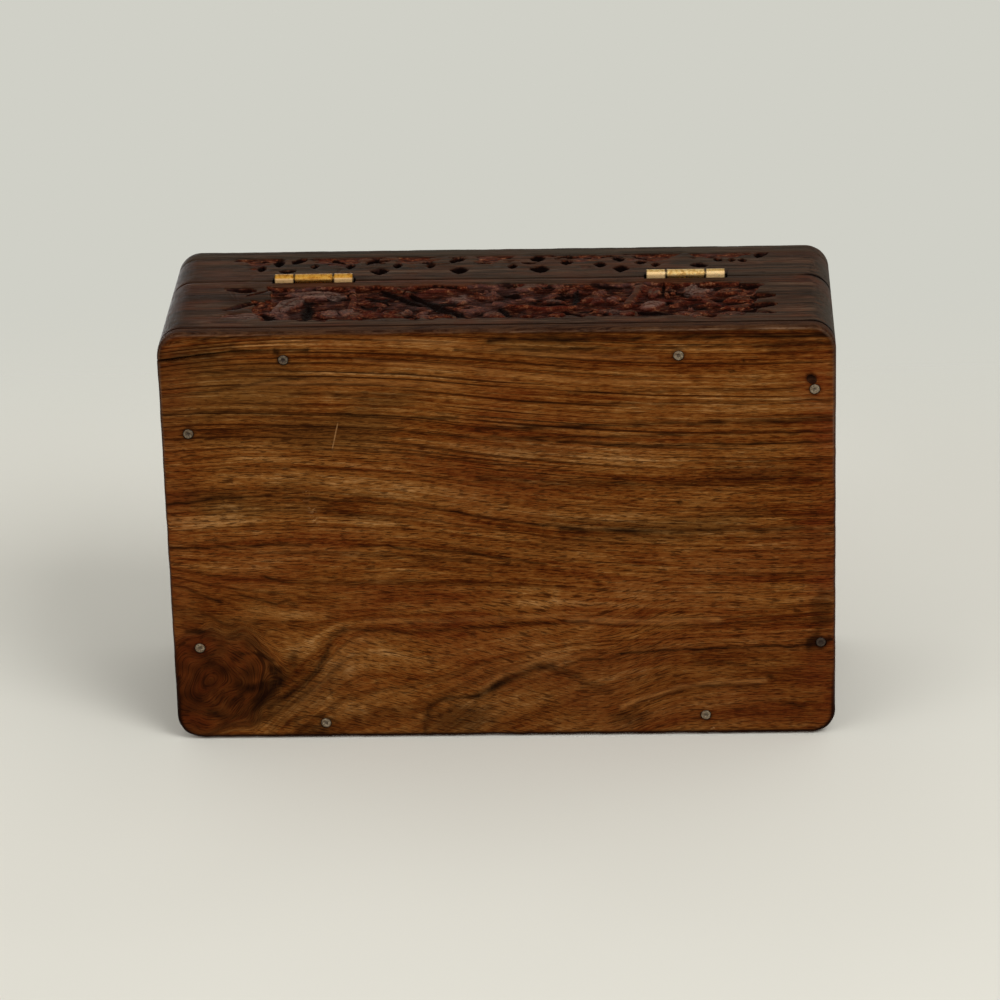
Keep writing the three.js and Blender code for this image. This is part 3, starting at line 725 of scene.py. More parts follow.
def body_back(c):
    """The body's back field: leaves, petals, rosettes and stems left standing in a chiselled ground."""
    c.ground(-74.0, 70.0, FIELD_FOOT, FIELD_TOP, 1.15, 5)
    c.ground(66.0, 74.0, 12.5, 27.5, 0.8, 8)
    c.ground(-78.0, -70.0, 11.5, 37.0, 0.8, 9)
    for u, z, turn, length, width, level, bend, pale in [
        (70.5, 14.2, 0, 13.0, 6.4, 0.0, 0.03, 0.9),
        (45.6, 31.4, 7, 20.5, 7.0, 0.0, 0.05, 0.75),
        (59.5, 31.6, -58, 17.5, 8.4, 0.05, 0.0, 0.6),
        (64.0, 11.4, 78, 10.5, 6.0, 0.55, 0.0, 0.0),
        (24.0, 36.6, 180, 12.5, 3.6, 0.25, 0.0, 0.1),
        (8.6, 27.2, 8, 8.0, 5.4, 0.1, 0.0, 0.6),
        (14.0, 20.6, 180, 13.5, 7.0, 0.45, 0.04, 0.0),
        (-4.6, 36.2, 164, 11.0, 4.6, 0.0, -0.04, 0.35),
        (-13.0, 25.4, 182, 8.6, 2.6, 0.0, 0.0, 0.6),
        (-16.4, 36.4, 174, 9.6, 3.8, 0.35, 0.0, 0.0),
        (-39.6, 37.4, 180, 7.0, 4.0, 0.15, 0.0, 0.3),
        (-47.2, 28.4, 92, 10.4, 4.4, 0.0, 0.0, 0.2),
        (-57.0, 30.2, 150, 10.6, 5.2, 0.0, 0.0, 0.75),
        (-57.4, 30.4, 108, 9.4, 5.2, 0.0, 0.0, 0.8),
        (-56.8, 29.8, 188, 8.8, 4.4, 0.15, 0.0, 0.3),
        (-42.8, 19.2, 152, 10.0, 6.0, 0.0, 0.0, 0.85),
        (-64.6, 30.2, 156, 15.4, 5.2, 0.15, 0.0, 0.0),
        (-68.0, 24.8, 172, 15.4, 5.0, 0.1, 0.0, 0.0),
        (-67.0, 18.0, 176, 16.4, 4.6, 0.1, 0.0, 0.0),
        (-66.0, 13.2, 182, 13.0, 3.4, 0.1, 0.0, 0.45),
        (-40.6, 14.6, 8, 11.0, 5.0, 0.0, 0.05, 0.4),
        (-3.0, 13.6, 20, 9.0, 4.6, 0.1, 0.0, 0.2),
        (-14.6, 12.6, 150, 9.6, 4.2, 0.3, 0.0, 0.0),
        (32.0, 24.4, 20, 11.0, 5.4, 0.4, 0.0, 0.0),
        (-10.0, 30.6, 20, 7.0, 3.2, 0.2, 0.0, 0.0),
        (-27.4, 16.4, 165, 9.0, 4.4, 0.3, 0.0, 0.0),
    ]:
        c.leaf(u, z, turn, length, width, level, bend, pale)
    for number, (u, z, reach, count, pale) in enumerate([
        (47.0, 15.2, 7.4, 8, 0.7), (25.4, 14.2, 6.4, 7, 0.6), (-33.0, 29.6, 6.6, 7, 0.7),
        (-59.0, 15.0, 5.8, 7, 0.5), (3.6, 32.4, 4.4, 6, 0.2), (36.0, 18.0, 5.0, 6, 0.1),
        (-20.0, 33.0, 5.0, 6, 0.2), (-50.0, 34.0, 5.0, 6, 0.1),
    ]):
        c.tuft(u, z, reach, count, 200 + number, pale)
    c.stem([(44.8, 38.0), (44.0, 30.0), (44.2, 22.0)], 2.8, 0.35)
    c.stem([(-43.4, 39.0), (-41.4, 30.0), (-39.2, 21.6)], 3.4, 0.1)
    c.stem([(-53.4, 21.4), (-57.0, 25.0), (-62.4, 25.2), (-66.4, 20.4)], 3.4, 0.3)
    c.stem([(30.6, 37.0), (24.0, 30.0), (17.0, 19.0), (12.6, 11.6)], 1.6, 0.0)
    c.stem([(-39.6, 16.0), (-41.6, 13.6), (-41.8, 10.4)], 1.5, 0.0)
    c.stem([(1.0, 25.0), (-6.0, 22.4), (-13.0, 20.0), (-24.0, 20.6)], 1.8, 0.3)
    for u0, z0, u1, z1, width, depth in [
        (74.0, 36.0, 83.8, 38.0, 4.6, 1.7), (67.6, 38.4, 77.0, 31.6, 1.8, 1.3),
        (57.6, 25.4, 57.2, 11.6, 4.2, 2.0), (73.0, 26.8, 82.4, 19.4, 4.0, 1.2),
        (36.4, 38.0, 22.6, 22.4, 3.8, 2.1), (27.6, 33.2, 7.8, 9.8, 5.4, 2.0),
        (25.4, 38.8, 12.6, 39.0, 1.6, 1.4), (0.6, 39.6, -5.6, 39.4, 1.4, 1.4),
        (-1.2, 33.4, -7.2, 28.4, 3.6, 2.0), (-15.8, 27.6, -23.2, 30.9, 3.6, 2.0),
        (-13.6, 22.9, -21.8, 23.1, 3.0, 2.0), (-24.4, 35.0, -23.6, 23.0, 2.4, 1.5),
        (-26.0, 39.4, -37.6, 37.2, 2.8, 1.6), (-50.2, 39.6, -50.0, 29.6, 1.2, 1.5),
        (-41.6, 15.6, -54.6, 13.4, 4.0, 1.8), (-65.6, 25.2, -69.6, 26.2, 2.8, 2.0),
        (-73.0, 34.4, -80.2, 36.9, 4.4, 1.9), (-75.4, 26.0, -84.4, 27.3, 5.4, 2.1),
        (-76.2, 18.1, -84.6, 19.9, 5.2, 2.0), (-73.0, 13.6, -84.0, 12.0, 2.4, 1.3),
        (-16.6, 17.2, -26.0, 13.8, 2.4, 1.6), (-0.6, 22.0, -4.6, 10.6, 3.0, 1.8),
        (71.6, 17.6, 65.8, 12.2, 3.4, 1.7), (52.6, 31.8, 44.6, 28.4, 4.4, 1.8),
        (-54.0, 31.6, -59.6, 29.4, 3.6, 1.9), (-51.0, 24.6, -53.4, 21.0, 3.0, 1.8),
        (9.0, 12.4, -1.0, 11.6, 2.6, 1.4), (40.0, 32.0, 33.0, 24.0, 3.0, 1.6),
        (62.0, 29.0, 52.0, 26.0, 2.0, 1.3), (-31.0, 20.4, -37.0, 19.4, 2.0, 1.4),
        (-5.0, 17.6, -10.0, 16.2, 1.8, 1.5), (17.6, 25.6, 12.6, 24.0, 1.8, 1.3),
        (-68.0, 22.6, -76.0, 22.2, 1.8, 1.4),
    ]:
        c.gouge(u0, z0, u1, z1, width, depth)
    c.nicks(-77.0, 72.0, 11.5, 38.5, 80, 12)
    chip = np.exp(-(((c.u - 10.3) / 0.55) ** 2 + ((c.z - 31.6) / 1.6) ** 2))
    c.lighten(2.2 * chip)


def vine(c, half, flowers, nicks, seed):
    """A sunk field with a waving stem, leaves on both sides and a flower in some of its bays."""
    c.ground(-half, half, FIELD_FOOT, FIELD_TOP, 1.15, seed)
    draw = np.random.default_rng(seed + 1)
    foot, top = 10.4, 39.2
    middle, swing = (foot + top) / 2, (top - foot) * 0.2
    count = max(2, int(round(2 * half / 24.0)))
    bay = 2 * half / count
    stem = [(u, middle + swing * math.sin((u + half) / bay * math.pi)) for u in spread(-half, half, 2.0)]
    for i in range(count):
        u = -half + (i + 0.5) * bay
        side = 1 if i % 2 == 0 else -1
        z = middle - side * swing * 0.9
        if i in flowers:
            c.flower(u, z, 7.2, 8, turn=draw.uniform(0, 3), pale=0.55)
            for turn in (20, 160, 200, 340):
                reach = 7.0 + draw.uniform(-0.5, 0.5)
                du, dz = toward(turn)
                c.leaf(u + 7.0 * du, z + 7.0 * dz, turn + draw.uniform(-8, 8), reach, 4.0, pale=0.1)
        else:
            for turn, length, pale in VINE_LEAVES:
                lean = side * -turn + draw.uniform(-8, 8)
                c.leaf(u, z + side * 3.0, lean, length + draw.uniform(-0.6, 0.6), 4.6, pale=pale)
        c.gouge(u - 5.5, middle + side * 9.4, u + 5.5, middle + side * 10.2, 2.6, 1.6)
    c.stem(stem, 2.2, 0.1)
    c.paint_raised_sheen(-half, half, foot, top, 0.42)
    c.nicks(2 - half, half - 4, 12.0, 38.0, nicks, seed + 2)


# The fan of leaves in a bay without a flower: turn, length, paleness
VINE_LEAVES = ((88, 9.5, 0.4), (40, 9.5, 0.1), (138, 9.5, 0.1), (-8, 8.0, 0.3), (188, 8.0, 0.0))


def body_front(c):
    vine(c, 84.0, (1, 3, 5), 40, 15)


def body_side(c):
    vine(c, 44.0, (0, 3), 20, 25)


def lid_front(c):
    band_pattern(c, -74.0, 6)
    c.scoop(-82.0, 4.0, 58.0, 60)


def lid_side(c):
    band_pattern(c, -37.0, 3)
    c.scoop(-44.5, 4.0, 58.0, 61)


def on_curve(points, share):
    """A point of a cubic curve, and the direction there in degrees."""
    a, b, c, d = (np.array(p, float) for p in points)
    rest = 1 - share
    place = rest**3 * a + 3 * rest**2 * share * b + 3 * rest * share**2 * c + share**3 * d
    way = rest**2 * (b - a) + 2 * rest * share * (c - b) + share**2 * (d - c)
    return place, math.degrees(math.atan2(way[1], way[0]))


# The forms of the lid's panel in its back right quarter, as the frame has them
PANEL_X, PANEL_Y = 80.0, 45.5
BORDER_X, BORDER_Y = 88.0, 53.5
SPRAY = [(18.4, 10.92), (28.0, 79.625), (58.4, -25.025), (66.0, 32.76)]
SPRAY_LEAVES = [(0.16, 48), (0.3, -48), (0.43, 48), (0.56, -48), (0.7, 80), (0.84, -48)]
BLOSSOMS = [(66.0, 32.76, 5.4, (115, 35, -30)), (70.0, 0.0, 6.2, (60, 120, 180)), (48.0, 0.0, 4.4, ())]
FANS = [(24.8, 0.0, (38, 0)), (0.0, 25.48, (42, 90))]
RING, RING_WIDTH, STAR_TIP, STAR_WAIST = 21.5, 2.4, 21.5, 12.255


def lid_top(c):
    """The lid's top: a rope-like border round a sunk panel with a star, flowers and leafy stems."""
    u, v = c.u, c.z
    past_x, past_y = BORDER_X - np.abs(u), BORDER_Y - np.abs(v)
    edge = np.minimum(past_x, past_y)
    c.dig(0.8 * hump(edge, 0.5))
    c.dig(0.8 * hump(edge - 6.0, 0.5))
    run = np.where(past_x < past_y, v, u)
    chips = np.abs((run / 5.0) % 1.0 - 0.5) * 2
    band = np.clip(1.25 - np.abs(edge - 3.0) / 2.1 - chips, 0, 1)
    c.dig(1.1 * band)
    # Painted shade in the border's chips
    c.paint_recess_shade(0.8 * smooth(band, 0.2, 0.7))
    c.ground(-PANEL_X, PANEL_X, -PANEL_Y, PANEL_Y, 1.2, 35, ragged=0.25)

    for side, way in ((-1, -1), (-1, 1), (1, -1), (1, 1)):
        for x, y, turns in FANS:
            for turn in turns:
                du, dv = toward(turn)
                lean = math.degrees(math.atan2(way * dv, side * du))
                c.leaf(side * x, way * y, lean, 12.0, 5.4, 0.05, pale=0.2)
        stem = [(side * x, way * y) for x, y in SPRAY]
        for number, (share, turn) in enumerate(SPRAY_LEAVES):
            (x, y), along = on_curve(stem, share)
            c.leaf(x, y, along + side * way * turn, 12.0, 5.4, 0.05, pale=0.3 if number % 2 else 0.1)
        c.stem([tuple(on_curve(stem, share)[0]) for share in np.linspace(0, 1, 19)], 2.2, 0.1)
        for x, y, radius, turns in BLOSSOMS:
            for turn in turns:
                du, dv = toward(turn)
                du, dv = side * du, way * dv
                lean = math.degrees(math.atan2(dv, du))
                c.leaf(side * x + du * radius / 2, way * y + dv * radius / 2, lean, 9.0, 4.0, 0.1)
            c.flower(side * x, way * y, radius, 7, pale=0.3)

    ring = np.hypot(u, v)
    off_ring = np.abs(ring - RING)
    c.stand(RING_WIDTH / 2 - off_ring, 0.1 + 0.25 * off_ring)
    turn = np.abs((np.degrees(np.arctan2(v, u)) + 15) % 30 - 15) * math.pi / 180
    half_ray = math.pi / 12
    dx = STAR_WAIST * math.cos(half_ray) - STAR_TIP
    dy = STAR_WAIST * math.sin(half_ray)
    reach = STAR_TIP * dy / (dy * np.cos(turn) - dx * np.sin(turn))
    facet = 0.7 * turn / half_ray * smooth(ring, 5.0, 10.0)
    c.stand((reach - ring) * 0.55, 0.05 + facet)
    c.flower(0, 0, 7.4, 8, pale=0.3)
    c.paint_raised_sheen(-PANEL_X, PANEL_X, -PANEL_Y, PANEL_Y, 0.5)
    for i in range(12):
        angle = half_ray + i * math.pi / 6
        c.notch(9.9 * math.cos(angle), 9.9 * math.sin(angle), 1.7, 1.7, 1.0)
    c.depth *= smooth(LID_CARVED_X - np.abs(u), 0.0, 0.5) * smooth(LID_CARVED_Y - np.abs(v), 0.0, 0.5)


# Boards


# How far from the middle the finely modelled part of a long and of a short wall reaches
LONG_CARVED, SHORT_CARVED = 86.0, 47.0

# How far the shading by the seam and the foot reaches, and where the corners' shading begins
SEAM_SHADE_REACH = 2.4
PLAIN_X = 84.0

# The depth that counts as 1 for the shader
CUT_SCALE = 1.5


def rows_between(foot, top, low, high):
    """Heights up a wall, fine where it is carved, each with how far the eased edges draw it in."""
    ease = [(0.0, 0.42), (0.1, 0.2), (0.25, 0.07), (0.5, 0.0)]
    rows = [(foot + rise, inset) for rise, inset in ease]
    rows.append((foot + 1.6, 0.0))
    rows += [(z, 0.0) for z in spread(low, high, CARVING_STEP)]
    if top - high > 2:
        rows += [(z, 0.0) for z in spread(high + 1.0, top - 1.5, 1.5)]
    return rows + [(top - rise, inset) for rise, inset in reversed(ease)]


ROWS = {
    "body": rows_between(BODY_FOOT, BODY_TOP, 8.0, 41.4),
    "lid": rows_between(RIM_FOOT, RIM_TOP, 48.0, RIM_TOP - 0.55),
}


def upright(name, around, rows, carving, material, seed):
    """A wall from the points round its plan, (x, y, normal x, normal y, u or None), and its rows."""
    count, height = len(around), len(rows)
    plan = np.array([p[:4] for p in around], float)
    along = np.array([np.nan if p[4] is None else p[4] for p in around], float)
    z = np.array([r[0] for r in rows])
    inset = np.array([r[1] for r in rows])
    cut, pale, stab = np.zeros((3, count, height))
    shown = ~np.isnan(along)
    c = Carving(along[shown], z)
    carving(c)
    quiet = smooth(z, z[0] + 0.5, z[0] + 1.2) * smooth(z, z[-1] - 0.4, z[-1] - 0.9)
    cut[shown] = np.clip(c.depth, 0, 2.4) * quiet
    pale[shown] = c.pale * quiet
    stab[shown] = c.stab * quiet
    run = np.cumsum(np.r_[0, np.hypot(*np.diff(plan[:, :2], axis=0).T)])
    wear = 1 + 0.5 * ripple(run[:, None], z[None, :] * 0.02, 9.0, seed)
    back = cut + inset[None, :] * np.clip(wear, 0.3, 2)
    points = np.empty((count, height, 3))
    points[..., 0] = plan[:, None, 0] - plan[:, None, 2] * back
    points[..., 1] = plan[:, None, 1] - plan[:, None, 3] * back
    points[..., 2] = z[None, :]
    index = np.arange(count * height).reshape(count, height)
    after = np.roll(index, -1, axis=0)
    quads = np.stack([index[:, :-1], after[:, :-1], after[:, 1:], index[:, 1:]], -1).reshape(-1, 4)
    faces = quads.tolist() + [index[::-1, 0].tolist(), index[:, -1].tolist()]
    return build(name, points.reshape(-1, 3), faces, material), (cut, pale, stab, along, z)


def long_plan(side):
    """Round a long wall's plan. side is 1 at the back and -1 at the front."""
    around = [(-HALF_LENGTH, INNER_Y, -0.7, -0.7, None)]

    def corner(way, start):
        for i in range(1, CORNER_STEPS):
            angle = start - i / CORNER_STEPS * math.pi / 2
            c, s = math.cos(angle), math.sin(angle)
            around.append((way * STRAIGHT_X + CORNER * c, STRAIGHT_Y + CORNER * s, c, s, None))

    ends = spread(INNER_Y + 0.4, STRAIGHT_Y, 2.0)
    around += [(-HALF_LENGTH, y, -1, 0, None) for y in ends]
    corner(-1, math.pi)
    left = np.r_[-STRAIGHT_X, spread(-STRAIGHT_X + 1.5, -LONG_CARVED - 1.0, 1.5)]
    right = np.r_[spread(LONG_CARVED + 1.0, STRAIGHT_X - 1.5, 1.5), STRAIGHT_X]
    for x in np.r_[left, spread(-LONG_CARVED, LONG_CARVED, CARVING_STEP), right]:
        around.append((x, HALF_DEPTH, 0, 1, x))
    corner(1, math.pi / 2)
    around += [(HALF_LENGTH, y, 1, 0, None) for y in ends[::-1]]
    around.append((HALF_LENGTH, INNER_Y, 0.7, -0.7, None))
    around += [(x, INNER_Y, 0, -1, None) for x in spread(-HALF_LENGTH + 0.4, HALF_LENGTH - 0.4, 6.0)[::-1]]
    return [(x, side * y, nx, side * ny, u) for x, y, nx, ny, u in around]


def short_plan(side):
    """Round a short wall's plan. side is 1 at the right and -1 at the left."""
    around = [(INNER_X, -SHORT_END, -0.7, -0.7, None), (HALF_LENGTH - 6, -SHORT_END, 0, -1, None)]
    around.append((HALF_LENGTH, -SHORT_END, 0.2, -0.2, None))
    low = (-SHORT_END + 0.6, -SHORT_CARVED - 1.0)
    high = spread(SHORT_CARVED + 1.0, SHORT_END - 0.6, 2.0)
    for y in np.r_[low, spread(-SHORT_CARVED, SHORT_CARVED, CARVING_STEP), high]:
        around.append((HALF_LENGTH, y, 1, 0, y))
    around.append((HALF_LENGTH, SHORT_END, 0.2, 0.2, None))
    around.append((HALF_LENGTH - 6, SHORT_END, 0, 1, None))
    around.append((INNER_X, SHORT_END, -0.7, 0.7, None))
    around += [(INNER_X, y, -1, 0, None) for y in spread(-SHORT_END + 1, SHORT_END - 1, 6.0)[::-1]]
    return [(side * x, y, side * nx, ny, u) for x, y, nx, ny, u in around]


def look_up(table, along, z, u, height):
    """Reads a table over a face at other points of it."""
    shown = ~np.isnan(along)
    us = along[shown]
    part = table[shown]
    i = np.clip(np.searchsorted(us, u) - 1, 0, len(us) - 2)
    j = np.clip(np.searchsorted(z, height) - 1, 0, len(z) - 2)
    s = np.clip((u - us[i]) / (us[i + 1] - us[i]), 0, 1)
    t = np.clip((height - z[j]) / (z[j + 1] - z[j]), 0, 1)
    low = part[i, j] * (1 - s) + part[i + 1, j] * s
    high = part[i, j + 1] * (1 - s) + part[i + 1, j + 1] * s
    return low * (1 - t) + high * t


def wall(node, body, axis, side, carving, material, seed):
    """A wall or rim that runs along an axis, carved, with the numbers that its shader reads."""
    plan = long_plan(side) if axis == "X" else short_plan(side)
    thing, (cut, pale, stab, along, z) = upright(node + "_wood", plan, ROWS[body], carving, material, seed)
    x, _, height = places_of(thing).T
    loose = (np.abs(height - AXIS_Z) > SEAM_SHADE_REACH) & (np.abs(height - BODY_FOOT) > SEAM_SHADE_REACH)
    thin_out(thing, loose & ((np.abs(x) < PLAIN_X) | (axis == "Y")))
    if axis == "X" and side > 0:
        carve_away(thing, [pocket(x, material) for x in (-HINGE_X, HINGE_X)])
    resharpen(thing, 38.0)
    at = places_of(thing)
    x, y, height = at.T
    run, out, face, inner = (x, y, HALF_DEPTH, INNER_Y) if axis == "X" else (y, x, HALF_LENGTH, INNER_X)
    out = out * side
    outer, inside = out > face - FACE_SKIN, out < inner + 0.05
    store(thing, "cut", np.where(outer, look_up(cut, along, z, run, height) / CUT_SCALE, 0.0))
    # Painted sheen on the raised forms
    store(thing, "pale", np.where(outer, look_up(pale, along, z, run, height), 0.0))
    # Painted shade: in the cuts, stabs and gouges, and at the seam, the foot and the hinge pockets
    dark = np.where(outer, look_up(stab, along, z, run, height), 0.0)
    store(thing, "stab", np.where(inside, 0.0, np.maximum(dark, joint_shade(at))))
    # Painted sheen: grey on the lid's rims and on the box's ends, stronger at one end
    lid = 0.22 if body == "lid" else 0.0
    corner = np.where(x > 0, 0.22, 0.4) * smooth(np.abs(x), 93, 100)
    store(thing, "grey_sheen", np.maximum(corner, lid))
    store(thing, "end", smooth(np.abs(x), 95, 100) * (axis == "X"))
    store(thing, "inner", inside.astype(float))
    stand_for(thing, node, body)


def joint_shade(at):
    """Painted shade along the seam and the foot of the walls, darker at the corners and towards one end, and
    in the hinge pockets.
    """
    x, y, z = at.T
    back = smooth(y, 30, 62)
    corner = smooth(np.abs(x), 91, 96) * back * np.where(x < 0, 1.0, 0.25)
    seam = np.abs(z - AXIS_Z)
    seam_dark = (1 - smooth(seam, 0.2 + 0.5 * corner, 0.7 + corner)) * (0.5 + 0.47 * corner)
    foot = np.abs(z - BODY_FOOT)
    foot_dark = (1 - smooth(foot, 0.2 + 0.4 * corner, 0.8 + corner)) * (0.85 + 0.12 * corner)
    foot_dark = np.maximum(foot_dark, 0.3 * smooth(x, 86, 98) * back)
    past_end = np.abs(np.abs(x) - HINGE_X) - HINGE_HALF - POCKET_END
    near = np.maximum(past_end, seam - BARREL - POCKET_SEAT)
    # Painted shade in the hinge pockets round the barrels
    socket = 0.9 * (near < 0.15) * (y > AXIS_Y - LEAF_REACH - 1)
    return np.maximum(np.maximum(seam_dark, foot_dark), socket)


def rounded_board(name, xs, ys, rings, level, material):
    """A board with rounded corners. rings are (reach, z) pairs that go outward, down the edge and under."""
    gx, gy = np.meshgrid(xs, ys, indexing="ij")
    flat = np.stack([gx, gy, level(gx, gy)], -1).reshape(-1, 3)
    index = np.arange(gx.size).reshape(gx.shape)
    quads = np.stack([index[:-1, :-1], index[1:, :-1], index[1:, 1:], index[:-1, 1:]], -1).reshape(-1, 4)
    base, normal = [], []

    def side(cells, nx, ny, start):
        base.extend(cells[:-1] + [cells[-1]] * CORNER_STEPS)
        normal.extend([(nx, ny)] * (len(cells) - 1))
        for i in range(CORNER_STEPS):
            angle = start + (i / CORNER_STEPS) * math.pi / 2
            normal.append((math.cos(angle), math.sin(angle)))

    side(index[:, 0].tolist(), 0, -1, -math.pi / 2)
    side(index[-1, :].tolist(), 1, 0, 0.0)
    side(index[::-1, -1].tolist(), 0, 1, math.pi / 2)
    side(index[0, ::-1].tolist(), -1, 0, math.pi)
    base, normal = np.array(base), np.array(normal, float)
    points, loops = [flat], [base]
    total, count = len(flat), len(base)
    for reach, z in rings:
        points.append(np.column_stack([flat[base, :2] + normal * reach, np.full(count, z)]))
        loops.append(np.arange(total, total + count))
        total += count
    faces = quads.tolist()
    for first, second in zip(loops, loops[1:]):
        cells = np.stack([first, np.roll(first, -1), np.roll(second, -1), second], -1)
        faces += [list(dict.fromkeys(cell)) for cell in cells.tolist()]
    faces.append(loops[-1][::-1].tolist())
    return build(name, np.concatenate(points), faces, material)


def fine_range(straight, carved, step, coarse):
    outer = spread(-straight, -carved, coarse)
    return np.r_[outer[:-1], spread(-carved, carved, step), -outer[:-1][::-1]]


# The base board's figure. s runs from the photo's left edge of the board and t down from its top edge.

BOARD_S, BOARD_T = 102.0, 67.0

# The grain's guides: each one's own number, and its t at the stations along s
STATIONS = [0, 12, 25, 40, 55, 75, 100, 125, 150, 180, 204]
GUIDES = [
    (-6, [-4, -5, -6, -7, -7, -7, -7, -7, -6, -6, -6]),
    (13.8, [8.9, 7.2, 6.1, 5.7, 5.9, 6.8, 8.9, 11.1, 12.8, 13.6, 13]),
    (36, [25.8, 25.3, 25.4, 26.2, 26.6, 27.9, 31.2, 33.6, 35.2, 36, 35.6]),
    (67, [55.6, 54.3, 53, 53.3, 54.6, 56.4, 61, 64.5, 66.5, 67, 66.6]),
    (81, [69.9, 69.6, 69.2, 69, 69.6, 70.8, 73.8, 77.5, 80, 81, 80.6]),
    (91.5, [81.5, 86, 89, 91.5, 92.3, 91, 90, 90, 91.2, 91.5, 90.5]),
    (96, [150, 140, 131, 115, 97.4, 98, 97.6, 95.8, 96.8, 96, 94.6]),
    (104.6, [175, 165, 155, 145, 140, 134.5, 116.5, 108.7, 105.6, 104.6, 104.2]),
    (117.2, [200, 190, 180, 170, 163, 155, 146, 134, 120.9, 117.2, 119]),
    (139, [230, 220, 210, 200, 190, 180, 172, 160, 146, 139, 138]),
]

# Dark lines of the grain: points (s, t), half width, strength
STROKES = [
    ([(0, 3.3), (10, 2.4), (18, 1.6), (35, 0.9)], 0.45, 0.7),
    ([(0, 9), (12, 7.4), (24, 6.2), (36, 5.7), (46, 5.8)], 0.7, 0.8),
    ([(1, 20), (12, 19.4), (26, 17), (37, 14.6), (47, 14.4), (56, 15)], 0.4, 0.6),
    ([(1, 25.7), (17, 25.2), (35, 26.2), (50, 26.3), (60, 27), (72, 27.6), (90, 28.2)], 0.5, 0.7),
    (
        [(8, 31), (20, 31), (40, 30), (57, 30.5), (75, 32), (90, 34), (111, 35.4), (137, 37.4), (151, 37.8)],
        0.4, 0.5,
    ),
    ([(120, 36), (137, 37.3), (150, 37.8), (168, 37.9), (204, 37)], 0.5, 0.8),
    ([(0, 55.4), (10.6, 54.4), (19, 53), (30, 52.9), (41, 53.4), (50, 54.4)], 0.5, 0.9),
    (
        [(50, 54.4), (62.5, 55), (75, 56.4), (90, 58.9), (100, 61), (111, 62.9), (125, 64.5), (143, 66)],
        0.45, 0.7,
    ),
    ([(0, 69.8), (12, 69.6), (22, 69.4), (35, 68.8), (44, 69.2)], 0.5, 0.95),
    ([(56, 69.7), (66, 69.7), (75, 70.8), (90, 71.9), (103, 74.4), (115, 76)], 0.45, 0.7),
    ([(0, 82), (5, 82.9), (10.6, 85.8), (16, 88)], 0.5, 0.6),
    ([(10, 92), (15, 94), (20, 96.4)], 0.5, 0.6),
    ([(29.5, 79.4), (33, 80.4), (38, 82.1)], 0.55, 0.9),
    ([(22, 85.6), (28, 87), (33, 88.8), (37, 87.4)], 0.5, 0.7),
    ([(29.4, 123.9), (37.5, 117.6), (43.8, 112), (47.5, 105.8), (49.4, 100.1), (53, 97.6)], 1.0, 0.75),
    ([(36.9, 107.0), (35.6, 112.4), (31, 116.6), (27.4, 119.6), (24.4, 124.0)], 2.0, 0.8),
    ([(24, 128.4), (31, 125.6), (38, 121.0), (43, 116.4)], 0.8, 0.5),
    ([(10, 125.2), (14, 126.6), (20, 126.6), (25.4, 123.6)], 0.8, 0.5),
    ([(53, 97.4), (63, 97.6), (72, 98.6), (90, 97.6), (103, 96.3), (115, 95.9), (128, 95.6)], 0.7, 0.6),
    ([(128, 96.2), (140, 97.2), (152, 97.6), (168, 96.8), (185, 95.6)], 0.4, 0.5),
    ([(77.2, 134), (77.5, 127), (78.8, 123.3), (83, 121.4), (90, 120.8), (94, 120)], 0.8, 0.85),
    ([(93.8, 120.1), (98.1, 117.6), (102.5, 115.1), (106.3, 113.3), (111.3, 111.2), (117, 110)], 1.3, 0.75),
    ([(121, 110), (126, 108.6), (133.8, 108.2), (138.8, 106.4)], 0.5, 0.6),
    ([(138, 106.4), (146.3, 105.9), (152.5, 105.4), (165, 105.1), (180, 104.5), (196, 104.2)], 0.45, 0.95),
    (
        [(141.3, 124.8), (146.3, 122.3), (150, 121), (155, 119.5), (160, 118.3), (165, 117.5), (180, 117.4)],
        0.8, 0.5,
    ),
    ([(160, 109.3), (166, 109.6), (176, 110.6)], 0.6, 0.6),
    ([(183, 122.4), (188, 123.2), (194, 125)], 0.7, 0.7),
    ([(34, 128.6), (40, 127), (46, 126.8), (50, 128.6)], 0.6, 0.8),
    ([(19, 104.6), (26, 105.3), (31, 107.6)], 0.6, 0.6),
    ([(194, 95.9), (204, 96)], 0.5, 0.4),
    ([(96, 31.6), (120, 31.4), (150, 30.6), (180, 30.4), (204, 30.0)], 0.8, 0.7),
    ([(100, 34.6), (130, 34.8), (160, 34.3), (204, 33.8)], 0.5, 0.65),
    ([(118, 20.6), (150, 20.4), (190, 20.2)], 0.4, 0.5),
    ([(108, 23.2), (140, 24.2), (180, 23.9), (204, 23.6)], 0.45, 0.6),
    ([(90, 6.6), (120, 6.4), (160, 6.2), (204, 5.4)], 0.5, 0.7),
    ([(100, 3.2), (140, 3.3), (180, 3.0), (204, 2.8)], 0.9, 0.8),
    ([(120, 64.8), (150, 65.8), (180, 65.6), (196, 65.2)], 0.9, 0.6),
    ([(96, 47.6), (118, 49.6), (150, 50.4), (184, 49.0)], 1.4, 0.4),
    ([(10, 12.8), (30, 12.0), (50, 12.6), (78, 13.8)], 0.4, 0.6),
    ([(40, 19.8), (60, 20.0), (84, 20.6)], 0.7, 0.5),
]

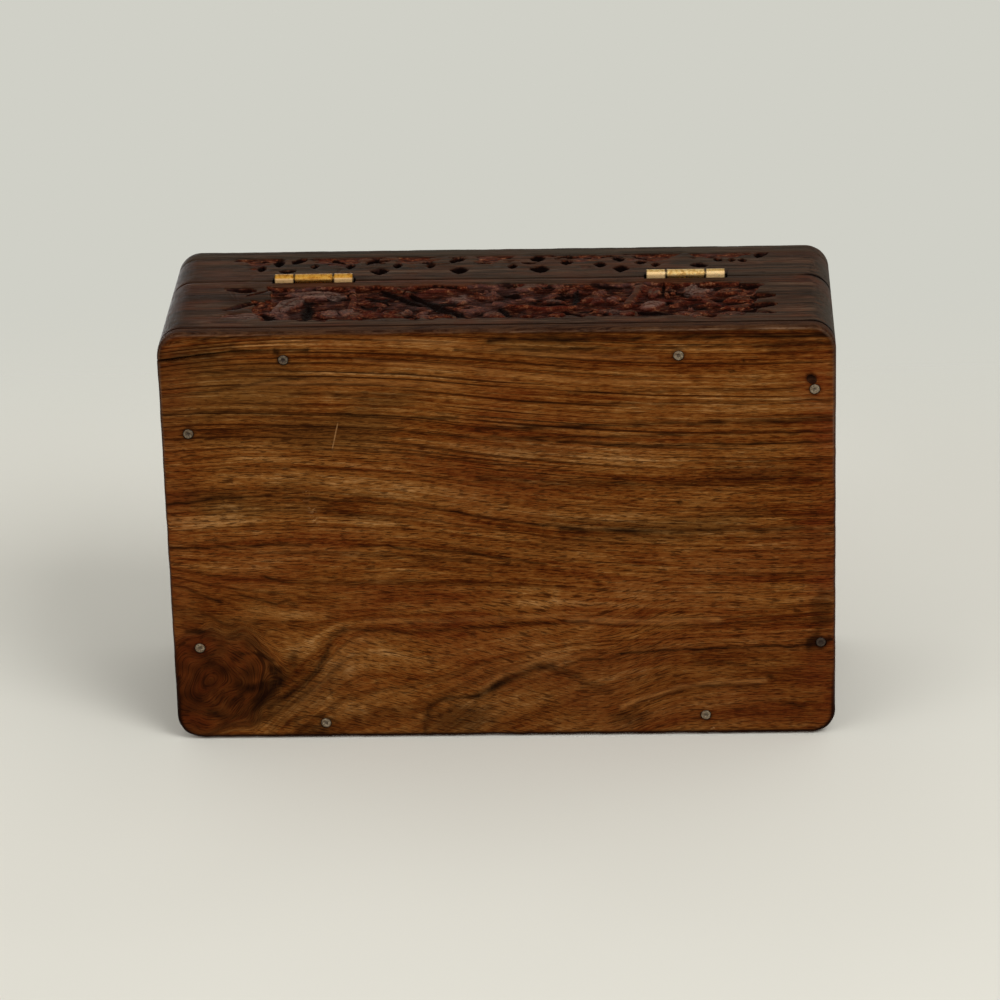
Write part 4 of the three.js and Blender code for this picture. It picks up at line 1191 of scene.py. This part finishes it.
# Light lines of the grain: points (s, t), half width, strength
LIGHTS = [
    ([(138, 124.4), (146, 120.9), (152, 119.2), (160, 117.2), (170, 116.2), (182, 116.0)], 0.7, 0.55),
    ([(122, 95.0), (135, 95.4), (150, 95.7), (168, 95.3)], 0.9, 0.5),
    ([(96, 117.2), (101, 113.6), (107, 110.6), (114, 108.2), (122, 106.8)], 0.8, 0.45),
    ([(60, 94.4), (80, 95.0), (100, 94.2), (118, 93.6)], 0.8, 0.3),
    ([(44, 117), (50, 110.5), (54.4, 104.4), (60, 100.4)], 1.5, 0.14),
    ([(33, 127), (40, 121.4), (47, 113.6)], 1.6, 0.16),
    ([(66, 2.4), (90, 4.6), (120, 8.4), (150, 9.6)], 0.7, 0.35),
    ([(60, 9.2), (90, 11.8), (126, 16.6), (160, 17.6)], 0.6, 0.35),
    ([(26, 16.4), (60, 16.0), (90, 18.0)], 0.6, 0.3),
]

# Dark patches: s, t, reach along and across, turn in degrees, strength
BLOTS = [
    (7.4, 97.6, 4.4, 1.2, 4, 0.9), (31.6, 111.5, 3.6, 2.2, -66, 0.8), (25.6, 116.4, 5.4, 1.8, 24, 0.85),
    (19.6, 120.6, 4.6, 1.4, 38, 0.7), (29.4, 118.0, 6.0, 2.4, 50, 0.5), (102, 115.6, 5.4, 1.8, 32, 0.6),
    (88, 127.5, 12.0, 5.6, 5, 0.5), (140, 128.4, 7.0, 3.2, 8, 0.45), (120, 112.6, 6.0, 1.6, -12, 0.45),
    (130, 117.6, 8.0, 1.8, -20, 0.35), (183.6, 114.6, 1.6, 0.9, -30, 0.7),
    (156.5, 56.3, 0.9, 0.7, 0, 0.9), (175.7, 10.9, 0.7, 0.8, 0, 0.9), (172.4, 14.2, 1.1, 0.5, 20, 0.8),
    (168.9, 37.2, 2.2, 0.8, -10, 0.5), (42, 131, 8.0, 2.6, 0, 0.55), (1.0, 115, 1.4, 10.0, 0, 0.6),
    (199.6, 92, 4.0, 8.4, 0, 0.5), (197.8, 103.2, 4.2, 3.2, 6, 0.9), (201.6, 102.6, 2.4, 0.5, 6, 0.97),
    (12, 5.6, 17.0, 2.4, 8, 0.55), (150, 1.0, 60.0, 1.0, 0, 0.5), (55.0, 20.6, 3.0, 1.4, 0, 0.3),
    (36.6, 6.6, 1.0, 1.6, 20, 0.9), (14, 8.6, 14.0, 2.6, 8, 0.35), (66, 22.6, 10.0, 2.4, 0, 0.25),
    (182, 47, 20.0, 3.6, -4, 0.3), (112, 39, 16.0, 3.0, -8, 0.2), (146, 104.2, 4.0, 1.0, 0, 0.3),
    (60, 60.0, 14.0, 1.4, -6, 0.35), (128, 62.6, 20.0, 2.0, -6, 0.3), (191, 6.0, 14.0, 3.0, 4, 0.35),
    (12, 114, 13.0, 9.5, 0, 0.28), (7, 121, 8.0, 6.0, 30, 0.25), (40, 118, 19.0, 10.0, 32, 0.34),
]

# The swirl's middle and turn
SWIRL_S, SWIRL_T, SWIRL_TURN = 11.5, 115.0, 28

# The old nail hole, and the middle of the dirt round it
HOLE_X, HOLE_Y = -94.2, 49.9
HOLE_DIRT_X, HOLE_DIRT_Y = -93.9, 50.2

# The scratch's ends, and pale crumbs: s, t, size
SCRATCH = [(53.9, 30.4), (52.3, 36.8)]
CRUMBS = [
    (43.8, 51.9, 0.6), (45.0, 57.4, 1.0), (45.6, 60.4, 0.9), (46.4, 61.4, 0.6), (166, 131.9, 0.5),
    (147, 122.8, 0.3), (43.4, 54.2, 0.5),
]


def outline_distance(x, y):
    """How far points on the base are inside its rounded outline."""
    dx, dy = np.abs(x) - STRAIGHT_X, np.abs(y) - STRAIGHT_Y
    corner = np.hypot(np.maximum(dx, 0), np.maximum(dy, 0))
    return CORNER - np.where((dx > 0) | (dy > 0), corner, np.maximum(dx, dy))


def grain_level(s, t):
    """The guides' own number at each point, read between the two smoothed guides that it lies between."""
    fine = np.linspace(STATIONS[0], STATIONS[-1], 409)
    window = np.hanning(35)
    window /= window.sum()
    levels = []
    for _, heights in GUIDES:
        line = np.pad(np.interp(fine, STATIONS, heights), 17, mode="reflect", reflect_type="odd")
        levels.append(np.interp(s, fine, np.convolve(line, window, "valid")))
    flow = np.full(len(s), float(GUIDES[0][0]))
    for k in range(len(GUIDES) - 1):
        share = np.clip((t - levels[k]) / (levels[k + 1] - levels[k]), 0, 1)
        flow += share * (GUIDES[k + 1][0] - GUIDES[k][0])
    return flow


def board_figure(thing, nails):
    """Stores where the grain runs, where the board is stained, red or scratched, and where shade and a
    highlight are painted on it.
    """
    x, y, z = places_of(thing).T
    s, t = BOARD_S - x, BOARD_T - y

    def left_plain(lines):
        """What share of the plain wood a set of lines leaves."""
        rest = np.ones(len(s))
        for line, width, strength in lines:
            near = distance_to(s, t + 0.25 * ripple(s, t, 5.0, 44), line)
            rest *= 1 - np.clip(strength * uneven, 0, 1) * hump(near, width)
        return rest

    # The way the grain runs, with the swirl in its corner
    flow = grain_level(s, t)
    c, d = toward(SWIRL_TURN)
    ds, dt = s - SWIRL_S, t - SWIRL_T
    p, q = ds * c - dt * d, ds * d + dt * c
    reach = np.hypot(p / 1.25, q) + 1.2 * ripple(s, t, 7.0, 41)
    swirl = 1 - smooth(reach, 13.5, 19.5)
    calm = 1 - 0.55 * smooth(flow, 95, 108) - 0.25 * (1 - smooth(reach, 17, 34))
    store(thing, "calm", np.clip(calm * (1 - 0.4 * swirl), 0.2, 1))
    flow = flow * (1 - swirl) + (100.0 + 0.12 * (17.5 - reach)) * swirl
    slope = 0.24 * smooth(t, 76, 100) * (1 - smooth(s, 120, 160))
    fibre = t - slope * (s - 90)
    fibre = fibre * (1 - swirl) + (110 + 1.1 * reach) * swirl
    depth = z * 0.8
    store(thing, "flow", np.stack([s, flow + depth, fibre + depth], -1))

    # Dark lines, patches, the swirl's rings, soiling at the nails and the old hole, a darker rim and top
    # face, and a painted contact shadow along the edge that lies on the floor
    uneven = 0.95 + 0.35 * ripple(s, t, 6.0, 43)
    clear = left_plain(STROKES)
    for bs, bt, along, across, turn, strength in BLOTS:
        c, d = toward(turn)
        p, q = (s - bs) * c - (t - bt) * d, (s - bs) * d + (t - bt) * c
        near = np.hypot(p / along, q / across) + 0.22 * ripple(s, t, 2.6, 45)
        clear *= 1 - strength * (1 - smooth(near, 0.45, 1.25))
    side = smooth(z, 0.03, 0.35)
    clear = 1 - (1 - clear) * (1 - 0.8 * side)
    rings = 1 - smooth(reach, 14.6, 15.8) * (1 - smooth(reach, 15.8, 18.4)) * 0.3
    murky = 0.42 + 0.2 * ripple(s, t, 4.0, 49) + 0.04 * np.sin(reach * 1.35 + 0.8 * ripple(s, t, 6.0, 50))
    rings *= 1 - np.clip(murky, 0.15, 0.8) * swirl
    rings *= 1 - 0.5 * (hump(reach - 9.2, 1.1) * smooth(s, 9.0, 14.0) * smooth(t, 108, 114))
    for nail_x, nail_y in nails:
        near = np.hypot(x - nail_x, y - nail_y)
        clear *= 1 - 0.55 * (1 - smooth(near, 1.6, 2.5))
    old_hole = np.hypot(x - HOLE_DIRT_X, y - HOLE_DIRT_Y)
    clear *= 1 - 0.8 * (1 - smooth(old_hole, 1.5, 2.3)) * (0.55 + 0.45 * smooth(y, 49.4, 50.6))
    out = outline_distance(x, y)
    heel = smooth(t, 100, 130)
    # Painted contact shadow along the edge that lies on the floor, and a darker rim all round
    rim_dark = (0.25 + 0.72 * heel) * (1 - smooth(out, 0.2 + 0.8 * heel, 1.1 + 0.7 * heel))
    clear *= 1 - rim_dark * (1 - side * (1 - heel)) * (1 - smooth(z, 0.5, 1.5))
    clear *= 1 - 0.5 * (1 - smooth(out, 0.7, 2.6)) * (1 - smooth(t, 5, 25)) * (1 - side)
    clear *= 1 - 0.9 * smooth(z, BASE_TOP - 0.25, BASE_TOP)
    store(thing, "stain_and_shade", np.clip(1 - clear * rings, 0, 0.97))

    # Light lines, the darker sides and upper edge, and a painted highlight on that edge's ridge, over its
    # wear
    store(thing, "light", 1 - left_plain(LIGHTS))
    upper = 1 - smooth(t, 20, 60)
    store(thing, "edge", np.maximum(side, 0.9 * (1 - smooth(out, 0.55, 0.95)) * upper))
    # Painted highlight along the upper edge's ridge, over its wear
    ridge = hump(out - 0.75, 0.2) * (1 - side) * upper * (0.55 + 0.45 * smooth(s, 120, 190))
    store(thing, "wear_and_highlight", np.clip(0.75 * ridge * (0.8 + 0.6 * ripple(s, t, 9.0, 48)), 0, 1))

    # Redder ends, the scratch and the pale crumbs
    ends = (1 - smooth(s, 2, 16)) * 0.6 + smooth(s, 186, 202) * 0.75
    red = ends * (0.7 + 0.4 * ripple(s, t, 12.0, 46)) + 0.55 * swirl
    orange = np.exp(-(((s - 7) / 6) ** 2 + ((t - 102) / 4) ** 2))
    red = np.maximum(red, 1 - smooth(old_hole, 1.2, 2.6))
    store(thing, "red", np.clip(red + 0.4 * orange, 0, 1))
    scratch = np.exp(-((distance_to(s, t, SCRATCH) / 1.1) ** 4))
    store(thing, "scratch", scratch * np.clip(0.42 + 0.3 * ripple(s, t, 2.0, 47), 0.1, 0.6))
    pale = 0 * s
    for crumb_s, crumb_t, size in CRUMBS:
        pale = pale + 0.7 * np.exp(-(((s - crumb_s) ** 2 + (t - crumb_t) ** 2) / size**2))
    store(thing, "pale", np.clip(0.75 * pale, 0, 1))


def crack_cutter(material):
    """A wedge that opens at the board's end and closes along the grain."""
    line = [
        (103.0, 57.9, 1.25, 5.0), (96.0, 58.9, 0.95, 3.6), (88.0, 60.1, 0.72, 2.6), (79.0, 61.1, 0.48, 1.6),
        (71.0, 61.5, 0.3, 0.9), (64.0, 61.5, 0.1, 0.4),
    ]
    points, faces = [], []
    for x, y, width, depth in line:
        points += [(x, y - width / 2, -0.3), (x, y + width / 2, -0.3), (x, y + 0.1, depth)]
    for a in range(0, 3 * len(line) - 3, 3):
        b = a + 3
        faces += [(a, b, b + 1, a + 1), (a + 1, b + 1, b + 2, a + 2), (a + 2, b + 2, b, a)]
    last = len(points) - 1
    faces += [(0, 1, 2), (last, last - 1, last - 2)]
    return build("crack", points, faces, material)


def base_board(material, nails):
    """The base board with its eased edge, the crack, the nails' seats and the old nail hole."""
    xs = spread(-STRAIGHT_X, STRAIGHT_X, 1.0)
    ys = spread(-STRAIGHT_Y, STRAIGHT_Y, 0.46)
    rings = [(r, 0.0) for r in spread(0.6, CORNER - 1.4, 0.6)]
    rings += [(CORNER - 1.0, 0.02), (CORNER - 0.6, 0.14), (CORNER - 0.28, 0.4), (CORNER - 0.08, 0.78)]
    rings += [(CORNER, 1.2), (CORNER, 2.8), (CORNER, BASE_TOP - 0.3), (CORNER - 0.3, BASE_TOP)]
    thing = rounded_board("base_board_wood", xs, ys, rings, lambda x, y: 0 * x, material)
    wear_edges(thing, 0.0, 51)
    cutters = [crack_cutter(material)]
    seat = [(0, -1.0), (1.68, -1.0), (1.68, 1.2), (0, 1.2)]
    for x, y in nails:
        uneven = lambda a, r: 1 + 0.03 * math.sin(3 * a + x)
        cutters.append(turned("seat", seat, x, y, 0.0, 1, 32, material, uneven))
    hole = [(0, -1.0), (1.55, -1.0), (1.5, 0.3), (0.8, 0.65), (0, 0.7)]
    uneven = lambda a, r: 1 + 0.12 * math.sin(2 * a)
    cutters.append(turned("old_hole", hole, HOLE_X, HOLE_Y, 0.0, 1, 24, material, uneven))
    carve_away(thing, cutters)
    resharpen(thing, 32.0)
    board_figure(thing, nails)
    stand_for(thing, "base_board", "body")


def wear_edges(thing, face, seed):
    """Rubs the outer edge next to a face unevenly, always inwards."""
    at = places_of(thing)
    x, y, z = at.T
    near = 1 - smooth(np.abs(z - face), 0.3, 2.2)
    out = np.minimum(HALF_LENGTH - np.abs(x), HALF_DEPTH - np.abs(y))
    near = near * (1 - smooth(out, 0.4, 2.0))
    uneven = 0.12 + 0.16 * ripple(x, y, 11.0, seed) + 0.1 * ripple(x, y, 3.0, seed + 1)
    amount = np.clip(uneven, 0, 0.5) * near
    nick = np.exp(-(((x - 97.5) / 2.2) ** 2 + ((y + 64.5) / 2.2) ** 2))
    amount = amount + 0.6 * nick * near
    length = np.hypot(x, y * HALF_LENGTH / HALF_DEPTH) + 1e-9
    at[:, 0] -= amount * x / length
    at[:, 1] -= amount * y * HALF_LENGTH / HALF_DEPTH / length
    thing.data.vertices.foreach_set("co", (at * MM).astype(np.float32).ravel())
    thing.data.update()


def lid_board(material):
    """The lid's top board with its carved panel."""
    xs = fine_range(STRAIGHT_X, 89.0, 0.5, 2.0)
    ys = fine_range(STRAIGHT_Y, 54.5, 0.5, 2.0)
    c = Carving(xs, ys)
    lid_top(c)
    depth = np.clip(c.depth, 0, 2.0)
    arc = [(math.sin(a), math.cos(a)) for a in np.linspace(0, math.pi / 2, 7)]
    rings = [(r, BOARD_TOP) for r in (2.0, 4.0)]
    rings += [(CORNER - 2 + 2 * across, BOARD_TOP - 2 + 2 * up) for across, up in arc]
    rings += [(CORNER, BOARD_FOOT + 0.4), (CORNER - 0.12, BOARD_FOOT + 0.12), (CORNER - 0.4, BOARD_FOOT)]
    thing = rounded_board("lid_board_wood", xs, ys, rings, lambda x, y: BOARD_TOP - depth, material)
    wear_edges(thing, BOARD_TOP, 61)
    x, y, z = places_of(thing).T
    carved = (np.abs(x) < LID_CARVED_X) & (np.abs(y) < LID_CARVED_Y)
    thin_out(thing, carved & (z > BOARD_TOP - FACE_SKIN))
    resharpen(thing, 38.0)
    x, y, z = places_of(thing).T
    top = z > BOARD_TOP - FACE_SKIN
    inside = (np.abs(x) < STRAIGHT_X) & (np.abs(y) < STRAIGHT_Y) & top
    # pale is a painted sheen on the raised forms, stab the painted shade in the cuts
    for name, table in (("cut", depth), ("pale", c.pale), ("stab", c.stab)):
        scale = CUT_SCALE if name == "cut" else 1.0
        store(thing, name, np.where(inside, look_up(table, xs, ys, x, y) / scale, 0.0))
    # Painted sheen: grey on the lid board's edges and underside, a little on its top
    store(thing, "grey_sheen", np.where(inside, 0.1, 0.55))
    store(thing, "end", smooth(np.abs(x), 97, 101) * (1 - top * 1.0))
    store(thing, "inner", (z < BOARD_FOOT + 0.05).astype(float))
    stand_for(thing, "lid_board", "lid")


# Metal parts


# How dirty each nail's head is, and how far the heads are sunk
DIRT = (0.5, 0.0, 0.0, 0.85, 0.0, 0.05, 0.05, 0.3)
NAIL_SUNK = 0.05


def nail(number, x, y, material):
    """A wire nail, its head a little out of round, with a punched dimple."""
    profile = [(0, 0.26), (0.25, 0.24), (0.45, 0.16), (0.62, 0.05), (0.8, 0.01), (1.2, 0.0), (1.42, 0.03)]
    profile += [(1.55, 0.12), (1.6, 0.3), (1.6, 0.6), (1.5, 0.75), (1.3, 0.8), (0.8, 0.85), (0.8, 17.5)]
    profile += [(0.4, 19.0), (0, 20.0)]

    def roundness(angle, radius):
        if radius < 1.0:
            return 1.0
        return 0.98 + 0.02 * math.sin(2 * angle + number) - 0.012 * math.cos(5 * angle + 2 * number)

    thing = turned(f"base_nail_{number}_steel", profile, x, y, NAIL_SUNK, 1, 36, material, roundness)
    across, along, _ = places_of(thing).T
    near = np.hypot(across - x, along - y)
    # Each nail's own soiling, and darker in the dimple and at the head's edge
    head_darkness = DIRT[number - 1] + 0.5 * smooth(near, 1.15, 1.6) + 0.6 * (1 - smooth(near, 0.35, 0.95))
    store(thing, "dirt_and_shade", np.clip(head_darkness, 0, 1))
    stand_for(thing, f"base_nail_{number}", "body")


def leaf_outline(side):
    """Section of a leaf, (y, z) from the pin's axis: a strip rolled round the pin into an eye."""
    start, end = -90.0, 203.0
    outline = [(-LEAF_REACH, -BARREL)]
    for radius, angles in ((BARREL, np.linspace(start, end, 40)), (EYE, np.linspace(end, start, 30))):
        outline += [(radius * c, radius * s) for c, s in map(toward, angles)]
    outline.append((-LEAF_REACH, LEAF - BARREL))
    return [(AXIS_Y + y, AXIS_Z + side * z) for y, z in outline]


def round_axis(name, low, high, front, back, reach, material):
    """A block from low to high along x that reaches as far above the hinges' axis as below it."""
    return block(name, (low, front, AXIS_Z - reach), (high, back, AXIS_Z + reach), material)


def knuckle_room(low, high, material):
    """The room for the other leaf's knuckle."""
    reach = BARREL + KNUCKLE_GAP
    return round_axis("room", low, high, AXIS_Y - reach, AXIS_Y + reach, reach, material)


def pocket(x, material):
    """The room that a hinge lies in, half in the body's wall and half in the lid's rim."""
    half = HINGE_HALF + POCKET_END
    front = AXIS_Y - LEAF_REACH - POCKET_SEAT
    return round_axis("pocket", x - half, x + half, front, AXIS_Y + 1, BARREL + POCKET_SEAT, material)


LEAF_STATIONS = (-1, -0.97, -0.545, -0.455, -0.2, 0.2, 0.455, 0.545, 0.97, 1)
SCREW_Y = AXIS_Y - (BARREL + KNUCKLE_GAP + LEAF_REACH) / 2
LEAF_FLAT = BARREL - LEAF


def screw(node, body, x, side, slot_turn, material):
    """A countersunk, slotted screw. side is 1 where it points up into the lid."""
    level = AXIS_Z + side * LEAF_FLAT
    profile = [(0, 0.0), (1.1, 0.0), (1.52, 0.04), (1.6, 0.1), (0.9, 0.72), (0.78, 0.95)]
    for turn in range(9):
        profile += [(0.9, 1.2 + 0.6 * turn), (0.68, 1.5 + 0.6 * turn)]
    profile += [(0.5, 7.2), (0, 8.0)]
    thing = turned(node + "_brass", profile, x, SCREW_Y, level, side, 32, material)
    groove = block("groove", (-2.2, -0.25, -0.35), (2.2, 0.25, 0.35), material)
    groove.data.transform(Matrix.Rotation(math.radians(slot_turn), 4, "Z"))
    groove.data.transform(Matrix.Translation((x * MM, SCREW_Y * MM, level * MM)))
    carve_away(thing, [groove])
    resharpen(thing, 32.0)
    stand_for(thing, node, body)


def hinge(side, x, brass):
    """A hinge at x: both leaves with their screws, and the pin."""
    name = side + "_hinge_"
    half = HINGE_HALF / 2
    gap = KNUCKLE_GAP / 2
    joints = [x - half, x + half]
    ends = [x - HINGE_HALF - 0.1, x + HINGE_HALF + 0.1]
    screws = [x - SCREW_APART / 2, x + SCREW_APART / 2]
    for part, body, way, rooms in (
        ("body", "body", 1, [(x - half - gap, x + half + gap)]),
        ("lid", "lid", -1, [(x - HINGE_HALF - 1, x - half + gap), (x + half - gap, x + HINGE_HALF + 1)]),
    ):
        stations = [x + share * HINGE_HALF for share in LEAF_STATIONS]
        leaf = prism(name + part + "_leaf_brass", leaf_outline(way), stations, brass)
        cutters = [knuckle_room(a, b, brass) for a, b in rooms]
        level = AXIS_Z - way * LEAF_FLAT
        for place in screws:
            bore = [(0, -1.0), (1.7, -1.0), (1.7, 0.02), (1.0, 0.72), (1.0, 1.6), (0, 1.6)]
            cutters.append(turned("bore", bore, place, SCREW_Y, level, -way, 32, brass))
        carve_away(leaf, cutters)
        soften(leaf, 0.07, 2, 40.0)
        resharpen(leaf, 40.0)
        hinge_tarnish_and_shading(leaf, side, joints + ends, part == "body")
        stand_for(leaf, name + part + "_leaf", body)
        for number, place in enumerate(screws, 1):
            turn = 37 * number + 23 * way + (11 if side == "left" else 64)
            screw(f"{name}{part}_screw_{number}", body, place, -way, turn, brass)
    head = [(0, 0.0), (0.35, 0.02), (0.52, 0.1), (PIN, 0.3)]
    profile = head + [(radius, 2 * HINGE_HALF - place) for radius, place in head[::-1]]
    pin = turned(name + "pin_brass", profile, 0, 0, 0, 1, 32, brass)
    pin.data.transform(Matrix.Rotation(math.pi / 2, 4, "Y"))
    pin.data.transform(Matrix.Translation(((x - HINGE_HALF) * MM, AXIS_Y * MM, AXIS_Z * MM)))
    hinge_tarnish_and_shading(pin, side, joints, False)
    stand_for(pin, name + "pin", "body")


def hinge_tarnish_and_shading(thing, side, gaps, scuffs_and_reflection):
    """Tarnishes a hinge, one hinge darker as painted shade, with painted shade next to the gaps and, on the
    outer knuckles, a painted pale reflection on the underside.
    """
    x, y, z = places_of(thing).T
    near = np.min([np.abs(x - gap) for gap in gaps], axis=0)
    height = 0.92 * (y - AXIS_Y) + 0.39 * (z - AXIS_Z)
    # One hinge darker than the other: painted shade for light falling from one side, over an even tarnishing
    level, dim_share = (0.2, 0.95) if side == "right" else (0.9, 0.2)
    # Painted pale reflection, mostly on the outer knuckles' undersides
    pale_reflection = (0.62 if scuffs_and_reflection else 0.1) * smooth(level - height, 0.0, 0.35) * (y > AXIS_Y - 1.6)
    store(thing, "tarnish_and_shade", np.full(len(x), dim_share))
    store(thing, "pale_reflection", pale_reflection)
    # Painted shade in the gaps between the knuckles
    store(thing, "dirt_and_shade", 0.9 * (1 - smooth(near, 0.15, 0.5)))


# The camera, which stands where the photographer stood

RIGHT = (-0.9991, -0.02602, 0.03339)
UP = (-0.01104, 0.92162, 0.38793)
FORWARD = (0.04086, -0.38721, 0.92108)
STATION = (-56.48, 545.39, -1268.7)
LENS = 164.07


def make_camera():
    data = bpy.data.cameras.new("camera")
    data.sensor_width = 36.0
    data.sensor_fit = "HORIZONTAL"
    data.lens = LENS
    data.clip_start = 0.05
    data.clip_end = 20.0
    camera = in_scene("camera", data)
    turn = Matrix((RIGHT, UP, [-v for v in FORWARD])).transposed().to_4x4()
    camera.matrix_world = Matrix.Translation([v * MM for v in STATION]) @ turn
    bpy.context.scene.camera = camera


# The stage

FLOOR_GAP = 0.3
CLOTH = (224, 222, 212)
BACKDROP = (208, 208, 199)

# The lamps point at the box's middle, in metres. Each has a name, a place, a size and a power.
BOX_MIDDLE = (0, 0, 0.036)
LAMPS = (
    ("key", (-1.1, 1.7, -1.2), 1.1, 26.0),
    ("fill", (1.3, 0.9, -1.3), 1.4, 9.0),
    ("top", (0.5, -0.6, 2.0), 1.4, 24.0),
    ("front", (1.2, -1.9, 0.9), 1.3, 14.0),
    ("left", (-2.0, -0.8, 0.9), 1.3, 12.0),
)


def one_sided(name, fades):
    """A plain pale surface, seen from its front only, that may fade into the backdrop with height."""
    s = Shader(bpy.data.materials.new(name))
    mottle = s.step(s.noise(s.add("TexCoord", out="Object"), 5.0, 5.0, 5.0, 2.0), 0.3, 0.7)
    s.finish(s.mix(mottle, CLOTH, tuple(c - 4 for c in CLOTH)), 0.9, Specular_IOR_Level=0.05)
    gone = s.add("NewGeometry", out="Backfacing")
    if fades:
        height = s.add("SeparateXYZ", {0: s.add("NewGeometry", out="Position")}, "Z")
        gone = s.more(gone, s.step(height, 0.14, 0.42))
    seen = s.add("MixShader", {0: gone, 1: s.surface.outputs[0], 2: s.add("BsdfTransparent")})
    s.put(s.nodes["Material Output"].inputs["Surface"], seen)
    return s.owner


def sheet_of_floor(name, corners, material):
    mesh = bpy.data.meshes.new(name)
    mesh.from_pydata([tuple(v * MM for v in corner) for corner in corners], [], [(0, 1, 2, 3)])
    mesh.materials.append(material)
    thing = in_scene(name, mesh)
    thing.visible_shadow = False
    thing.visible_diffuse = False
    thing.visible_glossy = False
    thing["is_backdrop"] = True


def make_floors():
    """The floor, and a second one under the front wall, on which the box lies in the photo."""
    cloth = one_sided("pale_floor", False)
    backdrop = one_sided("pale_backdrop", True)
    y = -HALF_DEPTH - FLOOR_GAP
    lying = [(-700, y, -400), (-700, y, 1500), (700, y, 1500), (700, y, -400)]
    sheet_of_floor("floor_of_the_photo", lying, backdrop)
    half, z = 2500, -FLOOR_GAP
    sheet_of_floor("floor", [(-half, -half, z), (half, -half, z), (half, half, z), (-half, half, z)], cloth)


def make_world():
    """A soft light all round, and a plain pale backdrop where the camera sees it."""
    s = Shader(bpy.data.worlds.new("world"))
    bpy.context.scene.world = s.owner
    soft = s.nodes["Background"]
    soft.inputs["Color"].default_value = (1.0, 0.99, 0.97, 1)
    soft.inputs["Strength"].default_value = 0.62
    seen = s.add("Background", {"Color": tint(*BACKDROP)})
    ray = s.add("LightPath").node.outputs
    direct = s.more(s.more(ray["Is Camera Ray"], ray["Is Transmission Ray"]), ray["Is Glossy Ray"])
    sky = s.add("MixShader", {0: direct, 1: soft.outputs[0], 2: seen})
    s.put(s.nodes["World Output"].inputs["Surface"], sky)


def make_lamps():
    for name, place, size, power in LAMPS:
        data = bpy.data.lights.new(name, "AREA")
        data.shape = "SQUARE"
        data.size = size
        data.energy = power
        in_scene(name, data).matrix_world = aimed(place, BOX_MIDDLE)


def aimed(place, target):
    """A lamp's placing, with its -Z towards the target."""
    away = (Vector(place) - Vector(target)).normalized()
    return Matrix.Translation(place) @ away.to_track_quat("Z", "Y").to_matrix().to_4x4()


# Everything in its place

make_camera()
make_floors()
make_world()
make_lamps()

plain_wood = base_wood()
long_wood = dark_wood("carved_wood_long", "X")
short_wood = dark_wood("carved_wood_short", "Y")
brass = brass_metal()
steel = steel_metal()

nail_places = []
for number in range(1, 9):
    low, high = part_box(f"base_nail_{number}")
    nail_places.append(((low.x + high.x) / 2 / MM, (low.y + high.y) / 2 / MM))
    nail(number, *nail_places[-1], steel)
base_board(plain_wood, nail_places)

wall("back_wall", "body", "X", 1, body_back, long_wood, 71)
wall("front_wall", "body", "X", -1, body_front, long_wood, 72)
wall("lid_back_rim", "lid", "X", 1, lid_back, long_wood, 73)
wall("lid_front_rim", "lid", "X", -1, lid_front, long_wood, 74)
for part, side, seed in (("left", -1, 75), ("right", 1, 76)):
    wall(part + "_wall", "body", "Y", side, body_side, short_wood, seed)
    wall(f"lid_{part}_rim", "lid", "Y", side, lid_side, short_wood, seed + 2)
lid_board(long_wood)

hinge("left", -HINGE_X, brass)
hinge("right", HINGE_X, brass)

bpy.context.scene.view_settings.view_transform = "Standard"
low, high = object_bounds()
